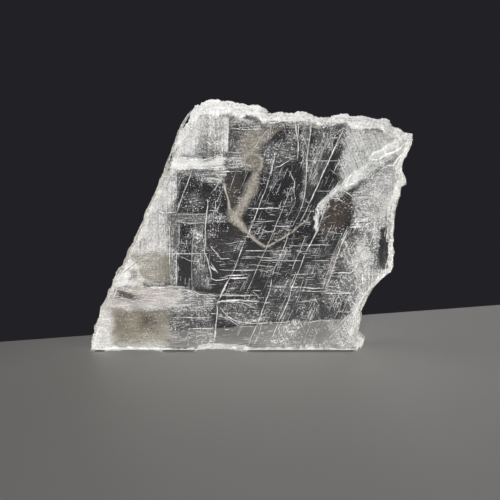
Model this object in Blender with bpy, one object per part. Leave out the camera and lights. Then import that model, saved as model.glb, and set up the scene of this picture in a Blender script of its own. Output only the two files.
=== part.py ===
"""A selenite plate: one cleavage slab of clear gypsum, standing on its long edge.

Metres, +Z up. The broad cleavage faces look along -Y (front) and +Y (back), and the
origin is on the surface that the plate stands on, under the middle of its box.

The crystal is one piece. It is built as gypsum grows and splits: as a stack of cleavage
leaves, each a little smaller than the next, so that the edges are stepped and splintered.
Shallow windows are where the outermost leaf has split away, low bands are where a sliver
of it is left, and lumps are the crushed, sugary crust along the top.
"""

import math
import random

import bmesh
import bpy
from mathutils import Matrix, Vector

MM = 0.001

# Driving dimensions, in millimetres.
THICKNESS = 18.0  # front face to back face
LEAF_OVERLAP = 0.2  # how far a leaf reaches into the next one, so that they join
WELD_DISTANCE = 0.01  # corners nearer than this become one
CHIP_PITCH = 2.4  # spacing of the chips along a broken edge
CHIP_DEPTH = 0.7  # the deepest chip
SPLINTER_SHARE = 0.55  # how many stretches of an inner leaf's edge have split back
SPLINTER_DEPTH = 1.2  # the furthest that such a stretch has split back
FOOT_DEPTH = 2.0  # how much of the base is cut off to stand it level

# The outline of the largest leaf, as (x, z) in millimetres, one chain for each edge.
LEFT_EDGE = (
    (-80.9, -1.0), (-79.5, 6.5), (-78.4, 11.5), (-75.9, 17.5), (-75.1, 21.5),
    (-71.1, 30.0), (-68.4, 36.0), (-66.4, 40.2), (-63.7, 42.6), (-62.9, 45.5),
    (-60.4, 51.5), (-54.6, 62.5), (-51.4, 71.0), (-46.9, 80.0), (-45.6, 83.5),
    (-43.4, 88.5), (-39.9, 93.5), (-38.3, 99.0), (-36.1, 105.5), (-34.6, 109.5),
    (-29.6, 115.8), (-28.9, 119.0),
)
TOP_EDGE = (
    (-26.9, 122.0), (-24.1, 122.0), (-23.6, 123.3), (-19.9, 125.0), (-15.4, 125.0),
    (-13.4, 124.1), (-9.4, 124.4), (-3.4, 123.0), (-0.4, 122.0), (5.1, 122.3),
    (9.4, 118.0), (15.6, 118.8), (22.1, 118.2), (24.6, 119.3), (27.6, 119.0),
    (34.1, 116.2), (37.6, 116.0), (45.1, 118.0), (48.1, 118.0), (50.1, 116.8),
    (56.1, 117.0), (68.1, 115.5), (69.9, 114.5),
)
RIGHT_EDGE = (
    (69.3, 112.4), (75.4, 110.2), (76.4, 109.0), (80.6, 108.2), (80.9, 104.5),
    (77.9, 97.5), (75.6, 92.5), (75.9, 90.5), (77.9, 86.5), (77.9, 84.0),
    (75.3, 82.5), (74.9, 78.0), (73.4, 75.5), (72.1, 56.5), (72.6, 48.5),
    (72.1, 41.5), (71.1, 39.2), (69.4, 38.5), (64.6, 33.5), (60.1, 27.5),
    (57.6, 22.0), (55.9, 13.5), (55.1, 8.5), (58.6, 5.0), (58.1, 2.5),
)
BASE_EDGE = (
    (55.9, -1.0), (4.0, -1.0), (-1.0, 0.6), (-9.0, 1.3), (-19.0, 1.7), (-25.0, 0.9),
    (-28.0, -1.0), (-41.0, -1.0), (-45.0, 0.6), (-60.0, 1.0), (-73.0, 0.6),
    (-75.0, -1.0),
)

# The leaves from front to back: share of the thickness, and how far the leaf's left,
# right and top edges lie inside the outline, in millimetres.
LEAVES = (
    (0.09, 1.7, 4.8, 3.6),
    (0.16, 0.8, 3.4, 2.0),
    (0.12, 1.3, 2.4, 1.0),
    (0.25, 0.0, 0.9, 0.0),
    (0.10, 0.9, 0.0, 1.6),
    (0.19, 0.4, 1.3, 2.6),
    (0.09, 1.6, 2.2, 3.8),
)
WHOLE_LEAF = 3  # the leaf that carries the full outline and hasn't splintered

# Windows cut into the faces, as (x, z) in millimetres, and their depths.
FRONT_WINDOW_DEPTH = 0.9
FRONT_WINDOW = (
    (-34.9, 90.5), (-11.9, 90.0), (-10.4, 111.5), (6.1, 110.0), (23.1, 113.0),
    (47.6, 110.5), (45.1, 95.5), (43.6, 81.5), (34.1, 73.0), (50.1, 75.0),
    (50.1, 64.5), (44.1, 55.5), (37.1, 32.0), (51.1, 30.0), (46.6, 19.5),
    (36.1, 4.0), (7.6, 4.0), (6.1, 26.0), (-27.4, 31.0), (-38.9, 33.5),
    (-39.4, 64.5), (-35.9, 71.5),
)
INNER_WINDOW_DEPTH = 1.5
INNER_WINDOW = (
    (2.0, 88.0), (16.0, 91.5), (22.5, 86.0), (25.0, 72.0), (9.5, 58.5), (-1.0, 66.0),
)
SLOT_DEPTH = 2.2
SLOT = (
    (65.2, 40.5), (66.8, 41.2), (68.6, 50.0), (68.9, 58.0), (68.4, 64.2), (67.0, 60.5),
    (65.4, 52.0),
)
BACK_WINDOW_DEPTH = 0.8
BACK_WINDOW = (
    (-22.0, 98.0), (33.0, 100.0), (22.0, 70.0), (47.0, 68.0), (29.0, 16.0),
    (-48.0, 18.0), (-41.0, 46.0), (-30.0, 49.0),
)
BACK_STEP_DEPTH = 1.7
BACK_STEP = (
    (-8.0, 62.0), (12.0, 60.0), (-2.0, 26.0), (-38.0, 27.0), (-33.0, 42.0), (-17.0, 44.0),
)

# Bands of the outer leaf that are left standing on a face, and their heights. They are
# rooted below the deepest window, so that none bridges a hollow.
BAND_ROOT = 2.3
FIBRE_BAND_HEIGHT = 0.6
FIBRE_BAND = (
    (-66.0, 33.5), (-30.0, 31.5), (-25.0, 29.3), (6.0, 29.0), (4.5, 26.6),
    (-25.0, 24.0), (-42.0, 22.0), (-69.0, 22.0),
)
CORNER_BAND_HEIGHT = 0.5
CORNER_BAND = (
    (-35.0, 98.5), (-24.0, 97.5), (-14.5, 100.5), (-11.5, 91.5), (-37.0, 92.5),
)
BACK_BAND_HEIGHT = 0.6
BACK_BAND = (
    (14.0, 112.5), (31.0, 111.0), (-9.5, 5.0), (-20.0, 5.0), (-6.0, 50.0),
)

# The crust: lumps sunk into the stepped top edge.
LUMPS = 15
LUMP_RADII = ((3.0, 5.5), (2.4, 4.0), (1.6, 2.6))  # least and most along x, y and z
LUMP_ROUGHNESS = 0.14  # how far a lump's points move, as a share of its radius
LUMP_REACH = 5.6  # how far lumps lie in front of and behind the middle

CLEAVED_GYPSUM = {"Base Color": (0.90, 0.89, 0.86, 1.0), "Roughness": 0.18,
                  "Metallic": 0.0, "IOR": 1.52, "Transmission Weight": 0.8}


def clear_scene():
    for obj in list(bpy.data.objects):
        bpy.data.objects.remove(obj)


def new_collection(name):
    collection = bpy.data.collections.new(name)
    bpy.context.scene.collection.children.link(collection)
    return collection


def broken_chain(points, start_shift, end_shift, inward, splinter, chips):
    """The chain with its two ends shifted, whole stretches of it split back by up to
    the splinter depth, and chips broken out between its points."""
    chain = []
    last = len(points) - 1
    inward = Vector(inward)
    moved = [
        Vector(point) + Vector(start_shift).lerp(Vector(end_shift), n / last)
        for n, point in enumerate(points)
    ]
    for here, there in zip(moved, moved[1:]):
        back = splinter * chips.random() if chips.random() < SPLINTER_SHARE else 0.0
        chain.append(here + back * inward)
        pieces = int((there - here).length / CHIP_PITCH)
        for n in range(1, pieces):
            share = (n + chips.uniform(-0.25, 0.25)) / pieces
            depth = back + CHIP_DEPTH * chips.random() ** 2
            chain.append(here.lerp(there, share) + depth * inward)
        chain.append(there + back * inward)
    return chain


def without_doubles(points):
    """The points without any that is nearly the one before it."""
    kept = [points[-1]]
    for point in points:
        if (point - kept[-1]).length > 0.05:
            kept.append(point)
    return kept[1:]


def leaf_outline(inset_left, inset_right, inset_top, splinter, chips):
    """One leaf's outline: the plate's, drawn in at each edge and freshly broken."""
    foot_left, foot_right = (inset_left, 0.0), (-inset_right, 0.0)
    top_left, top_right = (inset_left, -inset_top), (-inset_right, -inset_top)
    left = broken_chain(LEFT_EDGE, foot_left, top_left, (1.0, -0.3), splinter, chips)
    top = broken_chain(TOP_EDGE, top_left, top_right, (0.0, -1.0), splinter, chips)
    right = broken_chain(RIGHT_EDGE, top_right, foot_right, (-1.0, 0.0), splinter, chips)
    base = broken_chain(BASE_EDGE, foot_right, foot_left, (0.0, 0.2), 0.0, chips)
    return without_doubles(left + top + right + base)


def slab(name, outline, front, thickness, collection):
    """A flat outline in millimetres made a solid, from front backwards along +Y."""
    curve = bpy.data.curves.new(name, "CURVE")
    curve.dimensions = "2D"
    curve.fill_mode = "BOTH"
    curve.extrude = thickness / 2 * MM
    spline = curve.splines.new("POLY")
    spline.points.add(len(outline) - 1)
    for point, (x, z) in zip(spline.points, outline):
        point.co = (x * MM, z * MM, 0.0, 1.0)
    spline.use_cyclic_u = True
    drawn = bpy.data.objects.new(name + "_outline", curve)
    collection.objects.link(drawn)
    drawn.rotation_euler = (math.pi / 2, 0.0, 0.0)
    drawn.location = (0.0, (front + thickness / 2) * MM, 0.0)
    return solid_of(name, drawn, collection)


def solid_of(name, drawn, collection):
    """A curve object made a mesh with its caps welded. The curve is removed."""
    bpy.context.view_layer.update()
    graph = bpy.context.evaluated_depsgraph_get()
    mesh = bpy.data.meshes.new_from_object(drawn.evaluated_get(graph))
    mesh.name = name
    solid = bpy.data.objects.new(name, mesh)
    solid.matrix_world = drawn.matrix_world
    collection.objects.link(solid)
    curve = drawn.data
    bpy.data.objects.remove(drawn)
    bpy.data.curves.remove(curve)
    edit = bmesh.new()
    edit.from_mesh(mesh)
    bmesh.ops.remove_doubles(edit, verts=edit.verts, dist=0.00001)
    bmesh.ops.recalc_face_normals(edit, faces=edit.faces)
    for face in edit.faces:
        face.smooth = False
    edit.to_mesh(mesh)
    edit.free()
    return solid


def top_at(x):
    """The height of the outline's top edge at x, in millimetres."""
    for (x0, z0), (x1, z1) in zip(TOP_EDGE, TOP_EDGE[1:]):
        if x0 <= x <= x1:
            return z0 + (z1 - z0) * (x - x0) / (x1 - x0)
    return TOP_EDGE[-1][1]


def lump(name, number, collection):
    """One rough lump of crust, seated in the top edge."""
    shape = random.Random(100 + number)
    radii = Vector([shape.uniform(least, most) for least, most in LUMP_RADII])
    first, last = TOP_EDGE[0][0] + radii.x, TOP_EDGE[-1][0] - radii.x
    x = first + (last - first) * (number + shape.uniform(0.2, 0.8)) / LUMPS
    side = (-1) ** number * shape.uniform(0.35, 1.0)
    centre = Vector((x, side * LUMP_REACH, top_at(x) - radii.z - 1.6 * abs(side)))
    mesh = bpy.data.meshes.new(name)
    edit = bmesh.new()
    bmesh.ops.create_icosphere(edit, subdivisions=2, radius=1.0)
    for vert in edit.verts:
        vert.co *= 1.0 + shape.uniform(-LUMP_ROUGHNESS, LUMP_ROUGHNESS)
    bmesh.ops.transform(
        edit, matrix=Matrix.Diagonal((radii * MM).to_4d()), verts=edit.verts
    )
    bmesh.ops.translate(edit, vec=centre * MM, verts=edit.verts)
    edit.to_mesh(mesh)
    edit.free()
    solid = bpy.data.objects.new(name, mesh)
    collection.objects.link(solid)
    return solid


def join(target, other, operation):
    """A Boolean of the plate with one helper, which isn't part of the render."""
    modifier = target.modifiers.new(other.name, "BOOLEAN")
    modifier.operation = operation
    modifier.object = other
    modifier.solver = "EXACT"
    other.hide_render = True
    other.display_type = "WIRE"


def weld(target):
    modifier = target.modifiers.new("weld", "WELD")
    modifier.merge_threshold = WELD_DISTANCE * MM


def gypsum():
    material = bpy.data.materials.new("cleaved_gypsum")
    material.use_nodes = True
    shader = material.node_tree.nodes["Principled BSDF"]
    for socket, value in CLEAVED_GYPSUM.items():
        shader.inputs[socket].default_value = value
    return material


def stack_leaves(parts, helpers):
    """The plate's first leaf, joined to all the others."""
    chips = random.Random(13)
    front = -THICKNESS / 2
    plate = None
    for number, (share, left, right, top) in enumerate(LEAVES):
        depth = share * THICKNESS
        reach = depth + (LEAF_OVERLAP if number < len(LEAVES) - 1 else 0.0)
        splinter = 0.0 if number == WHOLE_LEAF else SPLINTER_DEPTH
        outline = leaf_outline(left, right, top, splinter, chips)
        if plate is None:
            plate = slab("selenite_plate", outline, front, reach, parts)
        else:
            join(plate, slab(f"leaf_{number}", outline, front, reach, helpers), "UNION")
        front += depth
    return plate


def add_bands(plate, helpers):
    """The low bands on the faces, each rooted in the plate."""
    face = THICKNESS / 2
    for name, outline, height in (
        ("fibre_band", FIBRE_BAND, FIBRE_BAND_HEIGHT),
        ("corner_band", CORNER_BAND, CORNER_BAND_HEIGHT),
    ):
        band = slab(name, outline, -face - height, height + BAND_ROOT, helpers)
        join(plate, band, "UNION")
    back = slab(
        "back_band", BACK_BAND, face - BAND_ROOT, BAND_ROOT + BACK_BAND_HEIGHT, helpers
    )
    join(plate, back, "UNION")


def cut_windows(plate, helpers):
    """The shallow windows where the outermost leaf has split away."""
    face = THICKNESS / 2
    clearance = 2.0
    for name, outline, depth in (
        ("front_window", FRONT_WINDOW, FRONT_WINDOW_DEPTH),
        ("inner_window", INNER_WINDOW, INNER_WINDOW_DEPTH),
        ("slot", SLOT, SLOT_DEPTH),
    ):
        cutter = slab(name, outline, -face - clearance, clearance + depth, helpers)
        join(plate, cutter, "DIFFERENCE")
    for name, outline, depth in (
        ("back_window", BACK_WINDOW, BACK_WINDOW_DEPTH),
        ("back_step", BACK_STEP, BACK_STEP_DEPTH),
    ):
        cutter = slab(name, outline, face - depth, clearance + depth, helpers)
        join(plate, cutter, "DIFFERENCE")


def level_foot(plate, helpers):
    """Cuts the base off flat at z = 0, where the plate stands."""
    half_width, half_depth = 100.0, 20.0
    bpy.ops.mesh.primitive_cube_add(size=1.0)
    block = bpy.context.active_object
    block.name = "foot_cut"
    block.dimensions = (2 * half_width * MM, 2 * half_depth * MM, FOOT_DEPTH * MM)
    block.location = (0.0, 0.0, -FOOT_DEPTH / 2 * MM)
    for collection in list(block.users_collection):
        collection.objects.unlink(block)
    helpers.objects.link(block)
    bpy.context.view_layer.update()
    join(plate, block, "DIFFERENCE")


def main():
    clear_scene()
    parts = new_collection("selenite plate")
    helpers = new_collection("cutters and leaves")
    plate = stack_leaves(parts, helpers)
    for number in range(LUMPS):
        join(plate, lump(f"lump_{number:02d}", number, helpers), "UNION")
    cut_windows(plate, helpers)
    add_bands(plate, helpers)
    level_foot(plate, helpers)
    weld(plate)
    plate.data.materials.append(gypsum())


main()
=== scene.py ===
import functools
import math

import bmesh
import bpy
import numpy as np
from mathutils import Matrix, Vector, noise


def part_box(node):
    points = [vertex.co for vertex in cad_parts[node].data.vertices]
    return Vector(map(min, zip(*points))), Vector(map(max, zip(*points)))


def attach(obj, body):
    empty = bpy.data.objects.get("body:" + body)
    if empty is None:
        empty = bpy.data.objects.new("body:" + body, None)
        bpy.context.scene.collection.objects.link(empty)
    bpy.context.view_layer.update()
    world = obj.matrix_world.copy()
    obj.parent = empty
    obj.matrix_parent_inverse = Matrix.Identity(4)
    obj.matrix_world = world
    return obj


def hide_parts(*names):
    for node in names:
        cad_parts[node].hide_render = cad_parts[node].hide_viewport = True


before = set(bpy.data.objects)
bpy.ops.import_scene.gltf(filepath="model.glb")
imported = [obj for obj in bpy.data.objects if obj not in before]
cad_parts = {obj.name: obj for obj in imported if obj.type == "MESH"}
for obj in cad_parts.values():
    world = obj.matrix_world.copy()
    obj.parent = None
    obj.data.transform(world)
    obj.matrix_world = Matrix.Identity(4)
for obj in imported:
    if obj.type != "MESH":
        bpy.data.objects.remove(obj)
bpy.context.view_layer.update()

noise.seed_set(4)  # or noise_vector would start from the clock
MM = 0.001
plate_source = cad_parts["selenite_plate"].data

# ---------------------------------------------------------------------------------------
# The crystal itself: one cleavage plate of clear gypsum. Its broad faces are natural
# cleavage, flat and glassy. Its rims are broken across the leaves, which leaves them
# stepped, splintered and frosted white.

RIM_CELL = 0.95 * MM  # the longest edge left on a broken surface
RIM_GRIT = 1.3 * MM  # the size of the grains that break out
RIM_DEPTH = 0.30 * MM  # how far they stand in or out
RIM_LUMP = 3.4 * MM  # the size of the lumps that the grains gather in
LUMP_DEPTH = 0.45 * MM  # how far those stand in or out
FOOT_CLEAR = 0.35 * MM  # the rim is left flat this near the surface that it stands on
# How deep the glassy faces lie from the middle, in mm, and by how much one may differ.
CLEAVAGE_DEPTHS = (-9.6, -9.5, -9.0, -8.1, -7.5, -6.8, 7.3, 8.2, 9.0, 9.6)
CLEAVAGE_SLACK = 0.03
FLAT = 0.98  # a face this square to the depth is flat
DOUBLES = 0.002 * MM  # corners nearer than this become one
CUT_ROUNDS = 7  # how many times long edges may be halved
GRIT_MIDDLE = 0.75  # the middle value of the grit's noise
CLEAR, BROKEN, LEDGE = 0, 1, 2  # the crystal's material slots
LEDGE_SHARE = 0.3  # how rough a ledge is beside the broken rims
CLEAN_INSIDE = 4.0 * MM  # steps further in than this split clean, and stay clear
# Above this line, (x, z) in mm, the ledges are crushed white as well.
CRUSHED_ABOVE = (
    (-42, 92.8), (-36, 102.2), (-29, 114.2), (-17.5, 118.2), (-2.5, 117.2), (6, 115.2),
    (25, 114.8), (47.5, 114.2), (70, 110.2), (77, 106.2), (83, 103.8))


def add_node(tree, kind, inputs=(), **settings):
    """A node with its settings, and its inputs set to values or linked to outputs."""
    made = tree.nodes.new(kind)
    for name, value in settings.items():
        setattr(made, name, value)
    for socket, value in dict(inputs).items():
        if isinstance(value, bpy.types.NodeSocket):
            tree.links.new(value, made.inputs[socket])
        else:
            made.inputs[socket].default_value = value
    return made


def linear(hex_colour):
    """An sRGB colour such as 'f2eee4' as linear RGBA."""
    values = [int(hex_colour[n:n + 2], 16) / 255 for n in (0, 2, 4)]
    return tuple(
        v / 12.92 if v <= 0.04045 else ((v + 0.055) / 1.055) ** 2.4 for v in values
    ) + (1.0,)


def new_object(name, data):
    made = bpy.data.objects.new(name, data)
    bpy.context.scene.collection.objects.link(made)
    return made


def new_material(name):
    """An empty node material: its tree and its output node."""
    material = bpy.data.materials.new(name)
    material.use_nodes = True
    material.node_tree.nodes.clear()
    output = add_node(material.node_tree, "ShaderNodeOutputMaterial")
    return material, material.node_tree, output


def stretched_noise(tree, coordinates, size, turn=0.0, detail=3.0, seed=0.0):
    """Noise whose grains are size = (x, y, z) metres, turned about Y."""
    mapping = add_node(
        tree, "ShaderNodeMapping",
        {"Vector": coordinates, "Rotation": (0.0, turn, 0.0), "Scale": size,
         "Location": [seed * length for length in size]},
        vector_type="TEXTURE",
    )
    return add_node(
        tree, "ShaderNodeTexNoise",
        {"Vector": mapping.outputs[0], "Scale": 1.0, "Detail": detail, "Roughness": 0.6},
    ).outputs["Fac"]


def object_coordinates(tree):
    return add_node(tree, "ShaderNodeTexCoord").outputs["Object"]


def is_cleavage(face):
    """True for the flat, glassy faces, and False for the broken rims."""
    depth = face.calc_center_median().y / MM
    return abs(face.normal.y) > FLAT and any(
        abs(depth - level) < CLEAVAGE_SLACK for level in CLEAVAGE_DEPTHS
    )


def is_ledge(face):
    """True for the steps of the rim that face forwards or back, below the crust."""
    centre = face.calc_center_median() / MM
    line = np.interp(centre.x, *zip(*CRUSHED_ABOVE))
    return abs(face.normal.y) > FLAT and centre.z < line


@functools.lru_cache
def section_edges(depth):
    """The edges of the crystal's cross-section at a depth, as ((x, z), (x, z)) pairs."""
    edit = bmesh.new()
    edit.from_mesh(plate_source)
    bmesh.ops.remove_doubles(edit, verts=edit.verts, dist=DOUBLES)
    bmesh.ops.bisect_plane(
        edit, geom=edit.verts[:] + edit.edges[:] + edit.faces[:],
        plane_co=(0.0, depth, 0.0), plane_no=(0.0, 1.0, 0.0),
        clear_inner=True, clear_outer=True,
    )
    pairs = [[(v.co.x, v.co.z) for v in edge.verts] for edge in edit.edges]
    edit.free()
    return np.array(pairs)


def inside_depth(places, edges):
    """How far each place lies inside the outline, negative outside it, and the nearest
    point of the outline."""
    best = np.full(len(places), np.inf)
    nearest = np.zeros_like(places)
    inside = np.zeros(len(places), bool)
    for start, end in edges:
        along = end - start
        share = ((places - start) @ along) / max(along @ along, 1e-18)
        foot = start + np.clip(share, 0.0, 1.0)[:, None] * along
        away = np.linalg.norm(places - foot, axis=1)
        closer = away < best
        best[closer] = away[closer]
        nearest[closer] = foot[closer]
        crossing = (start[1] > places[:, 1]) != (end[1] > places[:, 1])
        if along[1] != 0.0:
            x_there = start[0] + (places[:, 1] - start[1]) / along[1] * along[0]
            inside ^= crossing & (places[:, 0] < x_there)
    return np.where(inside, best, -best), nearest


def crystal_mesh(source):
    """The plate with its broken rims cut finely and roughened."""
    edit = bmesh.new()
    edit.from_mesh(source)
    bmesh.ops.remove_doubles(edit, verts=edit.verts, dist=DOUBLES)
    for face in edit.faces:
        face.material_index = CLEAR if is_cleavage(face) else BROKEN
        face.smooth = False
    for _ in range(CUT_ROUNDS):
        long = [
            edge for edge in edit.edges
            if edge.calc_length() > RIM_CELL
            and any(face.material_index != CLEAR for face in edge.link_faces)
        ]
        if not long:
            break
        bmesh.ops.subdivide_edges(edit, edges=long, cuts=1)
        bmesh.ops.triangulate(edit, faces=[f for f in edit.faces if len(f.verts) > 3])
    edit.normal_update()
    edges = section_edges(0.0)
    broken = [face for face in edit.faces if face.material_index == BROKEN]
    centres = np.array([face.calc_center_median() for face in broken])
    room, _ = inside_depth(centres[:, (0, 2)], edges)
    for face, inward in zip(broken, room):
        if is_ledge(face):
            face.material_index = LEDGE
        elif inward > CLEAN_INSIDE:
            face.material_index = CLEAR
    moves = []
    for vert in edit.verts:
        kinds = {face.material_index for face in vert.link_faces}
        if kinds == {CLEAR} or vert.co.z < FOOT_CLEAR:
            continue
        grit = noise.turbulence(vert.co / RIM_GRIT, 3, True) - GRIT_MIDDLE
        lumps = noise.noise(vert.co / RIM_LUMP)
        move = vert.normal * (grit * 2 * RIM_DEPTH + lumps * LUMP_DEPTH)
        if BROKEN not in kinds:
            move *= LEDGE_SHARE
        if CLEAR in kinds:
            move.y = 0.0
        moves.append((vert, move))
    for vert, move in moves:
        vert.co += move
        vert.co.z = max(vert.co.z, 0.0)
    mesh = bpy.data.meshes.new("selenite_crystal")
    edit.to_mesh(mesh)
    edit.free()
    return mesh


GYPSUM_IOR = 1.52
GYPSUM_ABSORPTION = 6.0  # to a metre

# Clear gypsum (selenite), naturally cleaved: colourless glass to the eye, a little grey
# where it is thick, with a faint silky ripple of cleavage steps that breaks up gloss.
clear_gypsum, tree, output = new_material("clear_gypsum_cleaved")
coordinates = object_coordinates(tree)
silk = stretched_noise(tree, coordinates, (9 * MM, 9 * MM, 0.7 * MM), seed=3.0)
scuffs = stretched_noise(tree, coordinates, (2.5 * MM, 2.5 * MM, 1.2 * MM), seed=8.0)
surface = add_node(
    tree, "ShaderNodeBsdfPrincipled",
    {"Base Color": (1.0, 1.0, 1.0, 1.0), "IOR": GYPSUM_IOR, "Transmission Weight": 0.992,
     "Roughness": add_node(
         tree, "ShaderNodeMapRange",
         {"Value": scuffs, "From Min": 0.45, "From Max": 0.75, "To Min": 0.02,
          "To Max": 0.10}).outputs[0],
     "Normal": add_node(
         tree, "ShaderNodeBump",
         {"Height": silk, "Strength": 0.12, "Distance": 0.02 * MM}).outputs[0]},
)
gypsums = [(tree, surface, output)]

# The same gypsum, broken across the leaves: crushed and sugary, so it scatters light and
# looks like packed snow, with glints where a splinter still has a clean face.
broken_gypsum, tree, output = new_material("gypsum_broken_rim")
coordinates = object_coordinates(tree)
grit = stretched_noise(tree, coordinates, (0.8 * MM,) * 3, seed=1.0)
layers = stretched_noise(tree, coordinates, (5 * MM, 0.5 * MM, 5 * MM), seed=2.0)
surface = add_node(
    tree, "ShaderNodeBsdfPrincipled",
    {"Base Color": add_node(
        tree, "ShaderNodeMix",
        {0: add_node(
            tree, "ShaderNodeMapRange",
            {"Value": add_node(
                tree, "ShaderNodeMath", {0: layers, 1: grit}, operation="ADD").outputs[0],
             "From Min": 0.75, "From Max": 1.15}).outputs[0],
         6: linear("c9c6c0"), 7: linear("ffffff")},
        data_type="RGBA").outputs[2],
     "IOR": GYPSUM_IOR, "Transmission Weight": 0.12,
     "Roughness": add_node(
         tree, "ShaderNodeMapRange",
         {"Value": grit, "From Min": 0.35, "From Max": 0.65, "To Min": 0.3,
          "To Max": 0.65}).outputs[0],
     "Normal": add_node(
         tree, "ShaderNodeBump",
         {"Height": grit, "Strength": 0.8, "Distance": 0.2 * MM}).outputs[0]},
)
gypsums.append((tree, surface, output))

# The steps between the leaves: split clean but bruised, so they are frosted in patches
# and the crystal shows dimly through them.
split_gypsum, tree, output = new_material("gypsum_split_ledge")
coordinates = object_coordinates(tree)
bruises = stretched_noise(tree, coordinates, (2.2 * MM,) * 3, detail=4.0, seed=5.0)
frost = add_node(
    tree, "ShaderNodeMapRange",
    {"Value": bruises, "From Min": 0.40, "From Max": 0.60}).outputs[0]
surface = add_node(
    tree, "ShaderNodeBsdfPrincipled",
    {"Base Color": linear("f3f2ec"), "IOR": GYPSUM_IOR, "Transmission Weight": add_node(
        tree, "ShaderNodeMapRange",
        {"Value": frost, "To Min": 1.0, "To Max": 0.80}).outputs[0],
     "Roughness": add_node(
         tree, "ShaderNodeMapRange",
         {"Value": frost, "To Min": 0.10, "To Max": 0.40}).outputs[0],
     "Normal": add_node(
         tree, "ShaderNodeBump",
         {"Height": bruises, "Strength": 0.4, "Distance": 0.12 * MM}).outputs[0]},
)
gypsums.append((tree, surface, output))

# Gypsum takes a little light all through its thickness, and leaves it faintly grey-green.
for tree, surface, output in gypsums:
    absorption = add_node(
        tree, "ShaderNodeVolumeAbsorption",
        {"Color": linear("d9dcd2"), "Density": GYPSUM_ABSORPTION})
    tree.links.new(surface.outputs[0], output.inputs["Surface"])
    tree.links.new(absorption.outputs[0], output.inputs["Volume"])

crystal = new_object("selenite_crystal", crystal_mesh(plate_source))
for material in (clear_gypsum, broken_gypsum, split_gypsum):  # in the order of the slots
    crystal.data.materials.append(material)
crystal.visible_shadow = False  # light reaches the cracks and clay inside
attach(crystal, "root")
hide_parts("selenite_plate")

# ---------------------------------------------------------------------------------------
# The crust: loose sugary grains of crushed gypsum, stuck along the top and in the steps
# of the broken rims. They are part of the crystal, and make its outline uneven.

CRUST_LINE = 0.82  # the crust thickens above this share of the plate's height
GRAIN_SIZES = (0.4 * MM, 1.3 * MM)
GRAINS_TOP = 70.0  # to a square centimetre, where the crust is thick
GRAINS_RIM = 1.5  # the same, on the rims below it
GRAIN_SPIN = (6.28, 6.28, 6.28)  # radians about each axis, so any way up
GRAIN_SQUASH = ((0.5, 0.5, 0.4), (1.2, 1.0, 0.9))  # its least and most size along each axis
GRAIN_FADE = 9 * MM  # the height over which the crust thickens
GRAIN_START = 2.0 * MM  # no grain lies lower than this
PER_SQUARE_CM = 1e4  # a count to a square centimetre, as one to a square metre


def crust_tree():
    """A node tree that sets faceted grains on the rims, and its inputs' identifiers."""
    group = bpy.data.node_groups.new("set_grains", "GeometryNodeTree")
    group.interface.new_socket("Crystal", in_out="INPUT", socket_type="NodeSocketGeometry")
    ids = {
        name: group_input(group, name, kind, value)
        for name, kind, value in (
            ("Top density", "NodeSocketFloat", 1e5),
            ("Rim density", "NodeSocketFloat", 1e4),
            ("Crust line", "NodeSocketFloat", 0.1), ("Smallest", "NodeSocketFloat", 0.001),
            ("Largest", "NodeSocketFloat", 0.002), ("Seed", "NodeSocketInt", 5),
        )
    }
    group.interface.new_socket("Grains", in_out="OUTPUT", socket_type="NodeSocketGeometry")
    given = add_node(group, "NodeGroupInput").outputs
    height = add_node(
        group, "ShaderNodeSeparateXYZ",
        {0: add_node(group, "GeometryNodeInputPosition").outputs[0]}).outputs["Z"]
    density = add_node(
        group, "ShaderNodeMapRange",
        {"Value": height, "From Min": given["Crust line"], "From Max": add_node(
            group, "ShaderNodeMath", {0: given["Crust line"], 1: GRAIN_FADE},
            operation="ADD").outputs[0],
         "To Min": given["Rim density"], "To Max": given["Top density"]}).outputs[0]
    broken = add_node(
        group, "GeometryNodeInputNamedAttribute", {"Name": "broken"}, data_type="FLOAT"
    ).outputs[0]
    scatter = add_node(
        group, "GeometryNodeDistributePointsOnFaces",
        {"Mesh": given["Crystal"], "Seed": given["Seed"],
         "Density": add_node(
             group, "ShaderNodeMath", {0: broken, 1: density}, operation="MULTIPLY"
         ).outputs[0]})
    grain = add_node(
        group, "GeometryNodeMeshIcoSphere", {"Radius": 0.5, "Subdivisions": 1})
    spin = add_node(
        group, "FunctionNodeRandomValue",
        {0: (0.0, 0.0, 0.0), 1: GRAIN_SPIN, "Seed": 2}, data_type="FLOAT_VECTOR")
    size = add_node(
        group, "FunctionNodeRandomValue",
        {2: given["Smallest"], 3: given["Largest"], "Seed": 3}, data_type="FLOAT")
    squash = add_node(
        group, "FunctionNodeRandomValue",
        {0: GRAIN_SQUASH[0], 1: GRAIN_SQUASH[1], "Seed": 4}, data_type="FLOAT_VECTOR")
    scale = add_node(
        group, "ShaderNodeVectorMath", {0: squash.outputs[0], "Scale": size.outputs[1]},
        operation="SCALE")
    grains = add_node(
        group, "GeometryNodeInstanceOnPoints",
        {"Points": scatter.outputs["Points"], "Instance": grain.outputs["Mesh"],
         "Rotation": spin.outputs[0], "Scale": scale.outputs[0]})
    real = add_node(
        group, "GeometryNodeRealizeInstances", {"Geometry": grains.outputs[0]})
    finished = add_node(
        group, "GeometryNodeSetMaterial",
        {"Geometry": real.outputs[0], "Material": sugary_gypsum})
    output = add_node(group, "NodeGroupOutput")
    group.links.new(finished.outputs[0], output.inputs[0])
    return group, ids


def group_input(group, name, kind, value):
    socket = group.interface.new_socket(name, in_out="INPUT", socket_type=kind)
    socket.default_value = value
    return socket.identifier


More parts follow.
